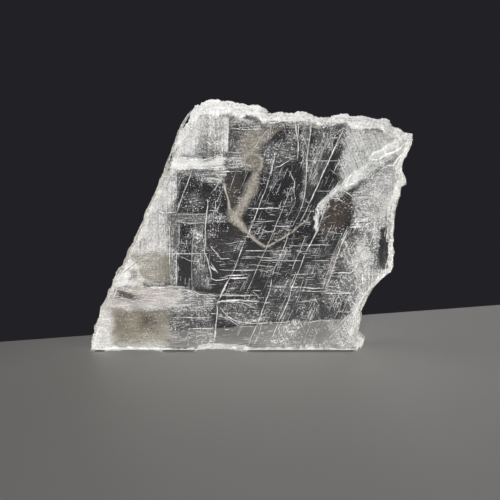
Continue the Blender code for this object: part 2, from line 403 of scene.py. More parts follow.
def grown(name, base, group, ids, values, material):
    """The plain mesh that a node tree makes from a base object, as a new object. The
    base is removed."""
    modifier = base.modifiers.new("grow", "NODES")
    modifier.node_group = group
    for key, value in values.items():
        modifier[ids[key]] = value
    bpy.context.view_layer.update()
    graph = bpy.context.evaluated_depsgraph_get()
    mesh = bpy.data.meshes.new_from_object(base.evaluated_get(graph))
    mesh.name = name
    mesh.materials.clear()
    mesh.materials.append(material)
    bpy.data.objects.remove(base)
    return new_object(name, mesh)


# Crushed gypsum: snow white with a weak gloss on each facet.
sugary_gypsum, tree, output = new_material("gypsum_crushed_sugary")
coordinates = object_coordinates(tree)
tone = stretched_noise(tree, coordinates, (3.0 * MM,) * 3, seed=7.0)
surface = add_node(
    tree, "ShaderNodeBsdfPrincipled",
    {"Base Color": add_node(
        tree, "ShaderNodeMix",
        {0: tone, 6: linear("f1efea"), 7: linear("ffffff")},
        data_type="RGBA").outputs[2],
     "Roughness": 0.35, "IOR": GYPSUM_IOR})
tree.links.new(surface.outputs[0], output.inputs["Surface"])

grain_group, grain_ids = crust_tree()
grain_base = new_object("grain_base", crystal.data.copy())
broken_faces = grain_base.data.attributes.new("broken", "FLOAT", "FACE")
for face in grain_base.data.polygons:
    steep = face.material_index == BROKEN and face.center.z > GRAIN_START
    broken_faces.data[face.index].value = 1.0 if steep else 0.0
crust = grown("sugary_crust", grain_base, grain_group, grain_ids, {
    "Top density": GRAINS_TOP * PER_SQUARE_CM, "Rim density": GRAINS_RIM * PER_SQUARE_CM,
    "Crust line": CRUST_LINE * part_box("selenite_plate")[1].z, "Smallest": GRAIN_SIZES[0],
    "Largest": GRAIN_SIZES[1], "Seed": 5,
}, sugary_gypsum)
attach(crust, "root")

# ---------------------------------------------------------------------------------------
# Milky veils: films of air where the leaves have come apart inside the crystal. They lie
# in the cleavage plane at a few depths, and hold the stains of iron and clay beside them.

SECOND_CLEAVAGE = 67  # degrees from level, the slant that gypsum splits along
VEIL_CELL = 0.75 * MM  # how finely a veil is cut up
VEIL_INSET = 0.35 * MM  # how far a veil stays inside the crystal's skin
VEIL_LEAST = 0.02  # a veil less milky than this is left out
BILLOW = 18 * MM  # the length over which a veil bends
FITS = 3  # how many times a veil's edge is moved to fit inside the crystal
FILM_IOR = 1.3  # of a film of air, beside gypsum on both sides
# How far the edge of a zone wanders, and over what length.
ZONE_RAGGED = ((1.1 * MM, 3.5 * MM), (0.6 * MM, 1.3 * MM))

# Each zone: what it is, how milky, the width of its soft edge in mm, and its outline as
# (x, z) in mm. A zone below zero is a clear window in those before it.
FRONT_ZONES = (
    ("crust", 0.84, 2.2, (
        (-32, 119.2), (-27, 123.2), (-19, 126.2), (0, 123.2), (9, 119.2), (25, 120.8),
        (47.5, 119.2), (70, 117.2), (85, 109.2), (83, 104.2), (77, 105.2), (71, 108.2),
        (62.5, 111.2), (56, 111.2), (51, 110.2), (47.5, 113.2), (44, 115.2), (36, 114.2),
        (30, 116.2), (25, 114.8), (18, 115.8), (10, 115.2), (6, 113.2), (3, 116.8),
        (-1.5, 117.8), (-5, 115.8), (-9, 118.2), (-17.5, 117.2), (-25, 118.8))),
    ("corner", 0.60, 7.0, (
        (-32, 122.2), (-23.5, 121.2), (-21.5, 112.8), (-24, 105.2), (-27, 97.2),
        (-45, 96.8), (-42.5, 105.2))),
    ("corner_haze", 0.42, 4.0, ((-27, 121.2), (-10, 120.2), (-10.5, 98.2), (-27, 97.2))),
    ("corner_window", -0.45, 4.0, (
        (-24, 106.2), (-15.5, 105.2), (-15, 99.2), (-20, 97.8), (-25, 99.2))),
    ("post", 0.62, 1.6, ((-13, 116.8), (-10, 116.8), (-10.5, 98.8), (-13, 98.8))),
    ("shelf", 0.70, 3.0, (
        (-41, 91.2), (-39, 98.2), (-29, 97.8), (-22.5, 96.2), (-18, 96.8), (-14.5, 98.8),
        (-12, 97.2), (-12, 91.2))),
    ("shelf_end", 0.34, 5.0, ((-13, 100.2), (-1.5, 99.2), (-2.5, 91.2), (-13, 90.8))),
    ("left_cell", 0.50, 5.0, (
        (-60, 91.8), (-34.5, 91.8), (-35.5, 82.8), (-37, 69.8), (-60, 68.2))),
    ("left_band", 0.50, 5.0, (
        (-60, 70.8), (-42, 70.2), (-39, 64.2), (-39.5, 49.2), (-55, 47.2), (-75, 48.2))),
    ("net_strip", 0.34, 2.0, (
        (-40, 65.2), (-35, 64.8), (-35, 52.2), (-36, 32.8), (-39.5, 32.8))),
    ("net_strip_2", 0.25, 2.4, (
        (-29, 65.2), (-22, 64.2), (-21, 44.2), (-19, 32.2), (-28.5, 32.2))),
    ("level_strip", 0.30, 3.0, (
        (-37, 70.2), (-12, 69.2), (-9, 65.2), (-25, 64.2), (-37, 63.8))),
    ("band_haze", 0.36, 3.0, (
        (-36, 91.2), (-11, 91.2), (-11.5, 86.8), (-16, 82.2), (-22, 85.2), (-29, 87.2),
        (-35, 87.8))),
    ("olive_haze", 0.42, 7.0, ((-61, 50.2), (-42.5, 50.2), (-42.5, 33.2), (-65, 33.2))),
    ("sugar", 0.72, 2.4, (
        (-66, 42.2), (-60, 47.2), (-56, 45.2), (-54, 40.2), (-52, 36.2), (-53, 32.8),
        (-68, 32.8))),
    ("sugar_window", -0.5, 2.0, ((-60, 42.2), (-57, 42.2), (-56, 36.2), (-60, 35.2))),
    ("fibres", 0.60, 4.0, (
        (-77, 33.2), (-61, 33.2), (-50, 33.2), (-35, 32.8), (-32, 27.8), (-37, 21.8),
        (-55, 21.2), (-70, 21.2), (-77, 21.8))),
    ("fibres_fade", 0.34, 5.0, (
        (-40, 32.8), (-31, 31.8), (-23, 29.2), (-15, 27.8), (-17, 23.2), (-27, 19.2),
        (-40, 19.2))),
    ("fibre_window", -0.6, 3.0, (
        (-66.5, 31.2), (-58, 29.2), (-54, 26.8), (-61, 25.2), (-66, 27.2))),
    ("left_margin", 0.50, 4.0, (
        (-87.5, -0.8), (-78, 19.2), (-73, 32.2), (-66, 32.2), (-68.5, 16.2), (-70, -0.8))),
    ("foot_strip", 0.85, 1.2, (
        (-85, 1.8), (-65, 2.2), (-40, 1.5), (-22.5, 1.8), (59, 1.5), (59, -0.8),
        (-85, -0.8))),
    ("foot_flow", 0.24, 4.0, (
        (-17, 25.8), (4, 26.2), (7, 19.2), (4, 13.2), (-6, 12.2), (-16, 16.2))),
    ("foot_glow", 0.36, 4.0, (
        (8, 5.8), (17.5, 7.8), (25, 5.2), (40, 3.8), (45, -0.8), (6, -0.8))),
    ("under_feather", 0.42, 4.0, (
        (61, 89.2), (53, 83.2), (49, 79.2), (50.5, 72.2), (51, 61.2), (62, 58.2),
        (65, 87.8))),
    ("right_wall", 0.38, 4.0, (
        (81, 108.2), (76, 103.8), (70, 96.2), (64, 89.2), (59, 84.2), (58, 75.2),
        (59, 64.2), (62, 52.8), (63, 41.2), (58, 30.2), (54, 19.2), (53.5, -0.8),
        (65, -0.8), (90, 65.2), (90, 108.2))),
    ("right_inner", 0.30, 5.0, (
        (69, 96.2), (56, 86.2), (50, 80.2), (50, 71.2), (51, 62.2), (47, 56.2), (44, 44.2),
        (44, 37.8), (48, 29.2), (47, 20.2), (40, 6.2), (45, -0.8), (61, -0.8),
        (69, 44.2))),
    ("lower_wall", 0.50, 5.0, (
        (52, 57.2), (58, 59.2), (62, 44.2), (57, 27.2), (54, 2.8), (48, 2.8), (49, 19.2),
        (52, 30.2), (49, 44.2))),
    ("lower_streaks", 0.19, 6.0, (
        (25, 44.2), (47.5, 50.2), (47.5, 25.2), (43, 2.8), (0, 2.8), (6, 29.2))),
    ("slot", -0.85, 1.0, (
        (64, 55.2), (65.5, 62.2), (68, 65.8), (69.5, 64.2), (69, 41.8), (65, 40.8),
        (64, 46.2))),
)
MIDDLE_ZONES = (
    ("crust", 0.84, 2.2, (
        (-33, 118.2), (-27, 124.2), (-19, 127.2), (0, 125.2), (9, 120.8), (25, 122.2),
        (47.5, 120.8), (70, 118.2), (87, 110.2), (85, 103.2), (77, 105.2), (71, 108.2),
        (62.5, 111.2), (51, 111.8), (44, 115.8), (36, 115.2), (25, 116.2), (18, 116.2),
        (10, 116.2), (6, 114.8), (-1.5, 119.2), (-9, 119.2), (-17.5, 118.8),
        (-25, 118.8))),
    ("left_haze", 0.22, 6.0, (
        (-32, 122.2), (-12, 120.2), (-12, 100.2), (-37, 89.2), (-40, 50.2), (-65, 50.2))),
    ("left_rim", 0.90, 2.2, (
        (-25, 125.2), (-30, 116.2), (-36, 104.2), (-41, 93.2), (-50, 75.2), (-61, 51.2),
        (-68, 35.2), (-73, 23.2), (-77.5, -0.8), (-90, -0.8), (-70, 50.2), (-35, 125.2))),
    ("upper_right", 0.52, 7.0, (
        (45.5, 112.2), (56, 110.8), (75, 110.2), (79, 100.2), (67.5, 92.8), (50, 82.2),
        (43.5, 86.2), (43.5, 94.2), (45.5, 101.2), (44, 106.2))),
    ("feather", 0.67, 3.0, (
        (32, 69.2), (36, 76.2), (41.5, 81.2), (46, 86.2), (51, 90.2), (58, 95.2),
        (64, 101.2), (71, 107.2), (77, 108.2), (76, 104.2), (71, 99.2), (65, 93.2),
        (58, 87.2), (51, 82.2), (46, 80.2), (40, 76.2), (35, 70.2))),
    ("feather_core", 0.76, 1.4, (
        (58, 96.8), (60, 100.2), (64, 100.8), (65, 103.2), (69, 103.8), (71, 106.8),
        (76.5, 108.2), (77.5, 105.8), (74.5, 104.2), (73, 100.2), (69.5, 100.8),
        (67.5, 96.2), (64, 97.8), (62, 94.2), (59.5, 94.8))),
    ("feather_core", 0.80, 1.4, (
        (45.5, 83.2), (47.5, 86.8), (50, 87.2), (51, 90.2), (54.5, 90.8), (57, 93.8),
        (59.5, 92.2), (56.5, 90.2), (58, 87.8), (54, 88.2), (52, 84.8), (49.5, 85.2),
        (48, 81.8))),
    ("feather_core", 0.72, 1.2, (
        (33.5, 72.8), (35.5, 76.2), (38, 76.8), (40, 80.2), (43.5, 81.2), (42.5, 78.2),
        (40.5, 78.2), (39, 75.2), (37, 75.2), (35, 71.2))),
    ("feather_foot", 0.72, 1.0, (
        (31.5, 69.2), (33.5, 68.8), (34.5, 64.8), (33.5, 60.8), (32, 59.8), (31.5, 62.8),
        (32.5, 65.2))),
    ("right_haze", 0.20, 7.0, (
        (51, 59.2), (57.5, 77.8), (67.5, 87.8), (76, 92.8), (70, 40.2), (60, 25.2),
        (56, 12.8), (51, 10.2), (48, 21.2), (41, 31.2), (45, 49.2))),
    ("right_rim", 0.80, 1.5, (
        (77, 105.2), (74.5, 100.2), (71.5, 92.2), (73, 87.2), (70.5, 80.2), (69.5, 65.2),
        (69.5, 44.2), (66, 38.2), (58, 28.2), (54.5, 16.2), (53, -0.8), (61, -0.8),
        (61, 16.2), (73, 33.2), (77, 44.2), (77, 75.2), (81, 85.2), (80, 95.2),
        (85, 105.2))),
    ("slot_middle", -0.85, 1.0, (
        (64, 55.2), (65.5, 62.2), (68, 65.8), (69.5, 64.2), (69, 41.8), (65, 40.8),
        (64, 46.2))),
    ("right_line", 0.30, 3.0, (
        (47.5, 62.2), (51, 60.2), (43, 44.2), (39, 31.2), (35.5, 31.2), (41, 46.2))),
    ("lower_right", 0.36, 5.0, (
        (36, 2.8), (44, 14.2), (51, 20.8), (58, 19.2), (59, -0.8), (36, -0.8))),
    ("top_haze", 0.46, 6.0, (
        (-11, 119.2), (6, 115.2), (25, 117.2), (47.5, 116.2), (47.5, 112.2), (25, 111.2),
        (6, 110.2), (-9.5, 112.2))),
    ("fan_band", 0.28, 1.8, (
        (26, 114.8), (31.5, 114.8), (29.5, 105.2), (28.5, 95.2), (28, 82.8), (26, 72.8),
        (24, 71.2), (25.5, 82.8), (25.5, 95.2), (24.5, 105.2))),
    ("fan_streaks", 0.24, 4.0, (
        (31, 114.8), (45, 113.2), (40, 100.2), (36, 90.2), (31, 80.2), (28, 75.2),
        (29, 95.2))),
    ("haze_by_cloud", 0.26, 4.0, (
        (6, 106.2), (22, 106.2), (23, 95.2), (12, 92.2), (6, 87.2))),
    ("foot_middle", 0.24, 4.0, ((-40, 23.2), (-18, 25.2), (-16.5, 0.2), (-40, -0.8))),
    ("window_haze", 0.04, 8.0, (
        (-36, 90.2), (-12, 91.2), (-12, 119.2), (47.5, 119.2), (47.5, 5.2), (-35, 5.2))),
    ("upper_haze", 0.23, 8.0, (
        (-11, 117.2), (25, 115.2), (25, 95.2), (6, 89.2), (-12, 91.2))),
    ("window_upper", 0.10, 6.0, (
        (-37, 89.2), (-12, 89.2), (-12, 67.8), (-20, 52.8), (-37, 52.8))),
    ("window_disc", 0.22, 3.0, (
        (-31, 80.2), (-25, 80.2), (-22, 75.2), (-24, 71.2), (-30, 71.8))),
    ("level_patch", 0.32, 3.0, ((9, 51.8), (20, 51.8), (22, 46.8), (11, 46.2))),
    ("level_patch", 0.18, 4.0, ((28, 53.2), (41, 53.2), (39, 46.2), (26, 46.2))),
    ("level_patch", 0.22, 2.0, ((30.5, 44.2), (35, 44.8), (35.5, 41.8), (31, 40.8))),
    ("crazed_patch", 0.32, 3.0, ((15, 13.2), (24, 16.2), (27, 15.2), (23, 4.2), (13, 3.2))),
    ("oval", -0.6, 5.0, ((11, 89.2), (17, 90.8), (21, 83.2), (18.5, 75.2), (10, 75.2))),
    ("dark_cell", -0.04, 4.0, (
        (41, 102.2), (47, 102.2), (45.5, 96.2), (44.5, 89.2), (42.5, 83.2), (37, 80.2),
        (38, 91.2))),
    ("dark_under_crust", -0.6, 3.0, ((11, 109.8), (19, 110.8), (18.5, 105.8), (10, 105.2))),
    ("left_window", -0.6, 5.0, ((-34, 84.8), (-14, 83.2), (-14, 80.2), (-33, 81.2))),
    ("brown_window", -0.8, 4.0, (
        (38, 72.8), (49, 75.2), (49, 62.8), (41, 56.2), (35, 61.2))),
    ("low_window", -0.8, 5.0, ((6, 29.2), (18, 29.2), (13, 17.2), (6, 16.2))),
    ("low_right_window", -0.8, 5.0, ((23, 27.2), (42, 27.2), (40, 17.2), (25, 16.2))),
    ("foot_window", -0.8, 3.0, ((26, 12.8), (38, 13.8), (34, 4.2), (24, 4.2))),
)
BACK_ZONES = (
    ("crust", 0.84, 2.2, (
        (-33, 118.2), (-27, 124.2), (-19, 127.2), (0, 125.2), (9, 120.8), (25, 122.2),
        (47.5, 120.8), (70, 118.2), (87, 110.2), (85, 103.2), (77, 105.2), (71, 108.2),
        (62.5, 112.2), (51, 113.8), (44, 116.8), (36, 116.2), (25, 118.2), (18, 117.2),
        (10, 117.2), (6, 116.8), (-1.5, 120.2), (-9, 120.8), (-17.5, 119.8),
        (-25, 119.8))),
    ("left_yellow", 0.70, 6.0, ((-60, 52.2), (-39, 52.2), (-39.5, 32.8), (-65, 32.8))),
    ("foot_yellow", 0.66, 7.0, ((-75, 23.2), (-39.5, 22.8), (-40, -0.8), (-81, -0.8))),
    ("left_back", 0.30, 6.0, ((-65, 50.2), (-36, 91.2), (-37, 67.8), (-39.5, 50.2))),
    ("corner_back", 0.36, 5.0, (
        (-35, 115.2), (-25, 123.2), (-12, 122.2), (-12, 100.2), (-40, 97.8))),
    ("warm_haze", 0.05, 12.0, (
        (-35, 75.2), (-12, 91.2), (25, 75.2), (47.5, 80.2), (47.5, 25.2), (25, 5.2),
        (-22.5, 25.2))),
    ("tan_cloud", 0.44, 5.0, (
        (-5, 110.2), (6, 111.2), (8, 106.2), (4, 100.2), (6, 92.2), (-2, 90.2),
        (-6, 100.2))),
    ("brown", 0.62, 5.0, (
        (40, 76.2), (48, 78.2), (50, 72.2), (50, 64.2), (44, 58.2), (36, 56.2),
        (34.5, 64.2))),
    ("plum", 0.50, 5.0, ((-10.5, 89.2), (-4, 89.2), (-5, 77.2), (-8, 72.2), (-11, 76.2))),
    ("dusk", 0.28, 8.0, ((-22.5, 64.2), (0, 61.2), (-5, 50.2), (-22, 50.2))),
    ("right_back", 0.40, 6.0, (
        (65, 92.8), (85, 100.2), (85, 25.2), (61, 25.2), (55, -0.8), (51, -0.8),
        (51, 20.2), (63.5, 44.2), (58, 80.2), (58, 87.2))),
    ("slot_back", -0.8, 1.5, ((63.5, 64.2), (70, 67.2), (70.5, 40.2), (63.5, 39.2))),
    ("bottom", 0.14, 5.0, ((-40, 5.2), (55, 5.2), (55, -0.8), (-40, -0.8))),
)
# Where the veils are striped upright or aslant, and where they are crazed into a net.
UPRIGHT_ZONES = (
    ("left", 0.9, 3.0, (
        (-65, 50.2), (-50, 75.2), (-45, 92.2), (-35, 91.2), (-35, 32.8), (-46, 32.8),
        (-50, 49.2))),
    ("corner", 0.9, 4.0, ((-42.5, 99.2), (-30, 125.2), (-11, 125.2), (-11, 99.2))),
    ("wall", 0.9, 5.0, (
        (58, 80.2), (85, 100.2), (85, 65.2), (75, 25.2), (58, -0.8), (51, -0.8),
        (51, 25.2), (61, 44.2))),
    ("strips", 0.8, 3.0, ((-30, 65.2), (-19, 64.2), (-19, 32.2), (-30, 32.2))),
)
SLANTED_ZONES = (
    ("upper", 1.0, 6.0, ((25, 119.2), (81, 113.2), (75, 100.2), (47.5, 83.2), (25, 67.8))),
    ("feather", 0.6, 6.0, (
        (31.5, 71.2), (48, 86.2), (73, 108.8), (77, 106.2), (56, 86.2), (30, 55.2))),
    ("lower", 0.8, 6.0, ((48, 61.2), (58, 55.2), (51, 2.8), (6, 2.8), (25, 32.8))),
)
NET_ZONES = (
    ("right", 1.0, 8.0, (
        (47.5, 61.2), (58, 75.2), (61, 65.2), (61, 44.2), (57, 20.2), (40, 5.2),
        (39, 32.2))),
    ("lower_right", 0.3, 6.0, ((25, 2.8), (30, 14.2), (58, 19.2), (59, -0.8))),
    ("left", 0.5, 6.0, ((-40, 65.2), (-19, 67.8), (-17.5, 2.8), (-39, 2.8))),
    ("sugar", 1.0, 2.0, ((-66, 44.2), (-57, 47.2), (-52, 33.2), (-68, 32.8))),
    ("foot", 0.8, 5.0, ((-39, 23.2), (6, 24.2), (6, 15.2), (-17, 2.8), (-39, 2.8))),
)


def outline_edges(points):
    """The edges of a zone's outline in mm, as pairs in metres."""
    corners = np.array(points) * MM
    return np.stack([corners, np.roll(corners, -1, axis=0)], axis=1)


def milkiness(places, zones):
    """How milky the veil is at each place: the strongest zone there, less its windows."""
    milk = np.zeros(len(places))
    ragged = places.copy()
    for reach, grain in ZONE_RAGGED:
        ragged += reach * np.array([
            noise.noise_vector(Vector((x, 0.0, z)) / grain) for x, z in places
        ])[:, (0, 2)]
    for _, strength, softness, outline in zones:
        depth, _ = inside_depth(ragged, outline_edges(outline))
        edge = np.clip(0.5 + depth / (softness * MM), 0.0, 1.0)
        edge = edge * edge * (3.0 - 2.0 * edge)
        if strength > 0.0:
            milk = np.maximum(milk, strength * edge)
        else:
            milk *= 1.0 + strength * edge
    return milk


def tightest_room(places, sections):
    """How far inside the crystal each place is, at the tightest of the sections, and the
    nearest place on its edge."""
    room = np.full(len(places), np.inf)
    nearest = np.zeros_like(places)
    for section in sections:
        room_here, nearest_here = inside_depth(places, section_edges(section))
        tighter = room_here < room
        room[tighter] = room_here[tighter]
        nearest[tighter] = nearest_here[tighter]
    return room, nearest


def veil_sheet(name, depth, waviness, zones, stains, material, sections, inset, cell):
    """A film at a depth where any zone is milky, as a grid of cells. It stays inside the
    crystal's sections at the given depths by the inset."""
    low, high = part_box("selenite_plate")
    columns = int((high.x - low.x) / cell) + 2
    rows = int((high.z - low.z) / cell) + 2
    across, up = np.meshgrid(np.arange(columns), np.arange(rows))
    places = np.stack([low.x + across.ravel() * cell, up.ravel() * cell], 1)
    room, nearest = tightest_room(places, sections)
    kept = room.reshape(rows, columns) > -0.7 * cell
    for _ in range(FITS):
        outward = (places - nearest) * np.where(room < 0.0, 1.0, -1.0)[:, None]
        outward /= np.maximum(np.linalg.norm(outward, axis=1), 1e-9)[:, None]
        rim = room < inset
        places[rim] = (nearest - outward * inset)[rim]
        room[rim], nearest[rim] = tightest_room(places[rim], sections)
    kept &= room.reshape(rows, columns) > 0.6 * inset
    milk = milkiness(places, zones)
    shown = milk.reshape(rows, columns) > VEIL_LEAST
    mesh_faces = []
    for row in range(rows - 1):
        for column in range(columns - 1):
            block = (slice(row, row + 2), slice(column, column + 2))
            if kept[block].all() and shown[block].any():
                first = row * columns + column
                mesh_faces.append((first, first + 1, first + columns + 1, first + columns))
    points = [
        (x, depth + waviness * noise.noise(Vector((x, depth * 9, z)) / BILLOW), z)
        for x, z in places
    ]
    mesh = bpy.data.meshes.new(name)
    mesh.from_pydata(points, [], mesh_faces)
    for attribute, values in (("milk", milk), *(
        (stain, milkiness(places, stain_zones)) for stain, stain_zones in stains.items()
    )):
        mesh.attributes.new(attribute, "FLOAT", "POINT").data.foreach_set(
            "value", values.astype(np.float32)
        )
    edit = bmesh.new()
    edit.from_mesh(mesh)
    loose = [vert for vert in edit.verts if not vert.link_faces]
    bmesh.ops.delete(edit, geom=loose, context="VERTS")
    edit.to_mesh(mesh)
    edit.free()
    mesh.materials.append(material)
    return new_object(name, mesh)


FRONT_STAINS = {
    "rose": (
        ("fibres", 0.45, 5.0, (
            (-69, 33.2), (-50, 33.2), (-32.5, 30.2), (-50, 22.2), (-73, 22.2))),
        ("left", 0.10, 8.0, ((-61, 61.2), (-39.5, 61.2), (-39.5, 50.2), (-66, 50.2))),
    ),
    "ochre": (
        ("olive", 0.50, 8.0, ((-59, 47.2), (-43, 47.2), (-42, 33.2), (-55, 33.2))),
        ("cream", 0.16, 4.0, ((51, 117.2), (69, 116.2), (69, 112.2), (53, 112.2))),
    ),
}
MIDDLE_STAINS = {
    "rose": (("right_line", 0.6, 4.0, ((47.5, 62.2), (52, 59.2), (41, 30.2), (35, 31.2))),),
    "ochre": (
        ("behind_feather", 0.45, 5.0, (
            (36, 72.8), (51, 80.2), (50, 67.8), (42.5, 56.2), (34, 57.2))),
        ("under_crust", 0.45, 6.0, ((6, 114.2), (25, 114.2), (25, 108.2), (6, 107.2))),
    ),
}
BACK_STAINS = {
    "rose": (("foot", 0.3, 6.0, ((-75, 25.2), (-55, 25.2), (-55, 5.2), (-80, 5.2))),),
    "ochre": (
        ("left_yellow", 0.85, 5.0, ((-60, 50.2), (-39, 50.2), (-39.5, 33.2), (-63, 33.2))),
        ("foot_yellow", 0.85, 8.0, ((-70, 22.8), (-39.5, 22.8), (-39.5, 2.2), (-69, 2.2))),
        ("tan_cloud", 0.85, 6.0, ((-7, 112.2), (9, 113.2), (9, 89.2), (-7, 89.2))),
    ),
    "umber": (
        ("brown", 1.0, 5.0, ((38, 78.2), (51, 80.2), (53, 63.2), (43, 55.2), (33, 56.2))),
        ("plum", 0.9, 3.0, ((-13, 92.2), (-3, 91.2), (-3, 73.2), (-13, 71.2))),
        ("dusk", 0.8, 5.0, ((-25, 65.2), (2.5, 63.2), (-3, 48.2), (-25, 48.2))),
        ("warm_haze", 0.65, 12.0, (
            (-35, 75.2), (-12, 91.2), (25, 75.2), (47.5, 80.2), (47.5, 25.2), (25, 5.2),
            (-22.5, 25.2))),
        ("smudge", 0.75, 7.0, ((-55, 17.8), (-48.5, 17.8), (-48.5, 10.8), (-55, 10.8))),
    ),
}
for stains in (FRONT_STAINS, MIDDLE_STAINS, BACK_STAINS):
    stains["upright"] = UPRIGHT_ZONES
    stains["slanted"] = SLANTED_ZONES
    stains["net"] = NET_ZONES


def warped(tree, coordinates, reach, grain):
    """Coordinates pushed about by noise, so that straight streaks become wavy."""
    push = add_node(
        tree, "ShaderNodeTexNoise",
        {"Vector": coordinates, "Scale": 1.0 / grain, "Detail": 1.0})
    centred = add_node(
        tree, "ShaderNodeVectorMath",
        {0: push.outputs["Color"], 1: (0.5, 0.5, 0.5)}, operation="SUBTRACT")
    return add_node(
        tree, "ShaderNodeVectorMath",
        {0: centred.outputs[0], 1: (reach, reach, reach), 2: coordinates},
        operation="MULTIPLY_ADD").outputs[0]


def contour_lines(tree, field, width):
    """1 along the line where a noise field crosses its middle, 0 away from it."""
    centred = add_node(
        tree, "ShaderNodeMath", {0: field, 1: 0.5}, operation="SUBTRACT").outputs[0]
    away = add_node(tree, "ShaderNodeMath", {0: centred}, operation="ABSOLUTE").outputs[0]
    return add_node(
        tree, "ShaderNodeMapRange",
        {"Value": away, "From Max": width, "To Min": 1.0, "To Max": 0.0}).outputs[0]


def veil_material(name, seed):
    """Delaminated cleavage: air films too thin to see as gaps. They turn the crystal
    milky, in striae along its growth, with a net of fine bright hairs."""
    material, tree, output = new_material(name)
    coordinates = object_coordinates(tree)
    wavy = warped(tree, coordinates, 3.2 * MM, 9 * MM)
    upright = stretched_noise(
        tree, coordinates, (0.55 * MM, 9 * MM, 20 * MM), detail=4.0, seed=seed)
    level = stretched_noise(
        tree, wavy, (7 * MM, 9 * MM, 0.55 * MM), detail=5.0, seed=seed + 2)
    slanted = stretched_noise(
        tree, coordinates, (16 * MM, 9 * MM, 0.6 * MM), turn=math.radians(SECOND_CLEAVAGE),
        detail=4.0, seed=seed + 4)
    flecks = stretched_noise(
        tree, coordinates, (0.7 * MM,) * 3, detail=2.0, seed=seed + 6)
    clouds = stretched_noise(
        tree, wavy, (8 * MM, 8 * MM, 5 * MM), detail=3.0, seed=seed + 8)
    hairs = contour_lines(tree, stretched_noise(
        tree, coordinates, (5.5 * MM, 12 * MM, 8.0 * MM), turn=math.radians(20),
        detail=2.0, seed=seed + 10), 0.014)
    level_hairs = contour_lines(tree, stretched_noise(
        tree, wavy, (9 * MM, 12 * MM, 1.6 * MM), detail=3.0, seed=seed + 12), 0.022)
    milk, upright_here, slanted_here, crazed = (
        add_node(tree, "ShaderNodeAttribute", attribute_name=attribute).outputs["Fac"]
        for attribute in ("milk", "upright", "slanted", "net")
    )
    streaks = level
    for other, here in ((upright, upright_here), (slanted, slanted_here)):
        streaks = add_node(
            tree, "ShaderNodeMix", {0: here, 2: streaks, 3: other}, data_type="FLOAT"
        ).outputs[0]
    # The sum of the noises, each about 0.5, brought to a middle of 0.
    shares = ((streaks, 1.4), (flecks, 1.6), (clouds, 0.9))
    total = -0.5 * sum(share for _, share in shares)
    for field, share in shares:
        total = add_node(
            tree, "ShaderNodeMath", {0: field, 1: share, 2: total},
            operation="MULTIPLY_ADD").outputs[0]
    netted = add_node(
        tree, "ShaderNodeMath", {0: hairs, 1: crazed}, operation="MULTIPLY").outputs[0]
    lines = add_node(
        tree, "ShaderNodeMath", {0: level_hairs, 1: 0.35, 2: netted},
        operation="MULTIPLY_ADD").outputs[0]
    total = add_node(
        tree, "ShaderNodeMath", {0: lines, 1: 0.28, 2: total},
        operation="MULTIPLY_ADD").outputs[0]
    # The milkier the veil, the more even it is.
    evenness = add_node(
        tree, "ShaderNodeMapRange",
        {"Value": milk, "From Min": 0.35, "From Max": 0.8, "To Min": 1.0, "To Max": 0.3},
    ).outputs[0]
    excess = add_node(
        tree, "ShaderNodeMath", {0: total, 1: evenness, 2: milk},
        operation="MULTIPLY_ADD").outputs[0]
    texture = add_node(
        tree, "ShaderNodeMapRange",
        {"Value": excess, "From Min": 0.12, "From Max": 1.0, "To Max": 0.95},
        interpolation_type="SMOOTHSTEP").outputs[0]
    texture = add_node(
        tree, "ShaderNodeMath", {0: texture, 1: add_node(
            tree, "ShaderNodeMapRange",
            {"Value": milk, "From Min": 0.0, "From Max": 0.15}).outputs[0]},
        operation="MULTIPLY").outputs[0]
    # Under the texture lies an even haze of bubbles too small to tell apart.
    haze = add_node(
        tree, "ShaderNodeMapRange",
        {"Value": milk, "From Min": 0.1, "From Max": 1.0, "To Max": 0.80},
        interpolation_type="SMOOTHSTEP").outputs[0]
    shown = add_node(
        tree, "ShaderNodeMapRange",
        {"Value": milk, "From Min": 0.3, "From Max": 0.85, "To Min": 0.8, "To Max": 0.4},
    ).outputs[0]
    alpha = add_node(
        tree, "ShaderNodeMix", {0: add_node(
            tree, "ShaderNodeMath", {0: texture, 1: shown},
            operation="MULTIPLY").outputs[0], 2: haze, 3: 1.0},
        data_type="FLOAT").outputs[0]
    shade = linear("fdfcfa")
    for stain, colour in (("rose", "dcc6b8"), ("ochre", "9d937c"), ("umber", "5a4e45")):
        amount = add_node(
            tree, "ShaderNodeAttribute", attribute_name=stain).outputs["Fac"]
        shade = add_node(
            tree, "ShaderNodeMix", {0: amount, 6: shade, 7: linear(colour)},
            data_type="RGBA").outputs[2]
    # The thicker the film, the whiter.
    thickness = add_node(
        tree, "ShaderNodeMath", {0: milk, 1: 0.7, 2: total}, operation="MULTIPLY_ADD")
    shade = add_node(
        tree, "ShaderNodeVectorMath",
        {0: shade, "Scale": add_node(
            tree, "ShaderNodeMapRange",
            {"Value": thickness.outputs[0], "From Min": -0.1, "From Max": 0.85,
             "To Min": 0.45, "To Max": 1.0}).outputs[0]},
        operation="SCALE").outputs[0]
    surface = add_node(
        tree, "ShaderNodeBsdfPrincipled",
        {"Base Color": shade, "Roughness": 0.55, "IOR": FILM_IOR, "Alpha": alpha})
    tree.links.new(surface.outputs[0], output.inputs["Surface"])
    return material


milky = veil_material("gypsum_milky_cleavage", 11.0)
for name, depth, waviness, zones, stains in (
    ("veil_front", -5.4 * MM, 0.5 * MM, FRONT_ZONES, FRONT_STAINS),
    ("veil_middle", -0.6 * MM, 1.0 * MM, MIDDLE_ZONES, MIDDLE_STAINS),
    ("veil_back", 5.2 * MM, 0.5 * MM, BACK_ZONES, BACK_STAINS),
):
    veil = veil_sheet(
        name, depth, waviness, zones, stains, milky, (depth,), VEIL_INSET, VEIL_CELL)
    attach(veil, "root")

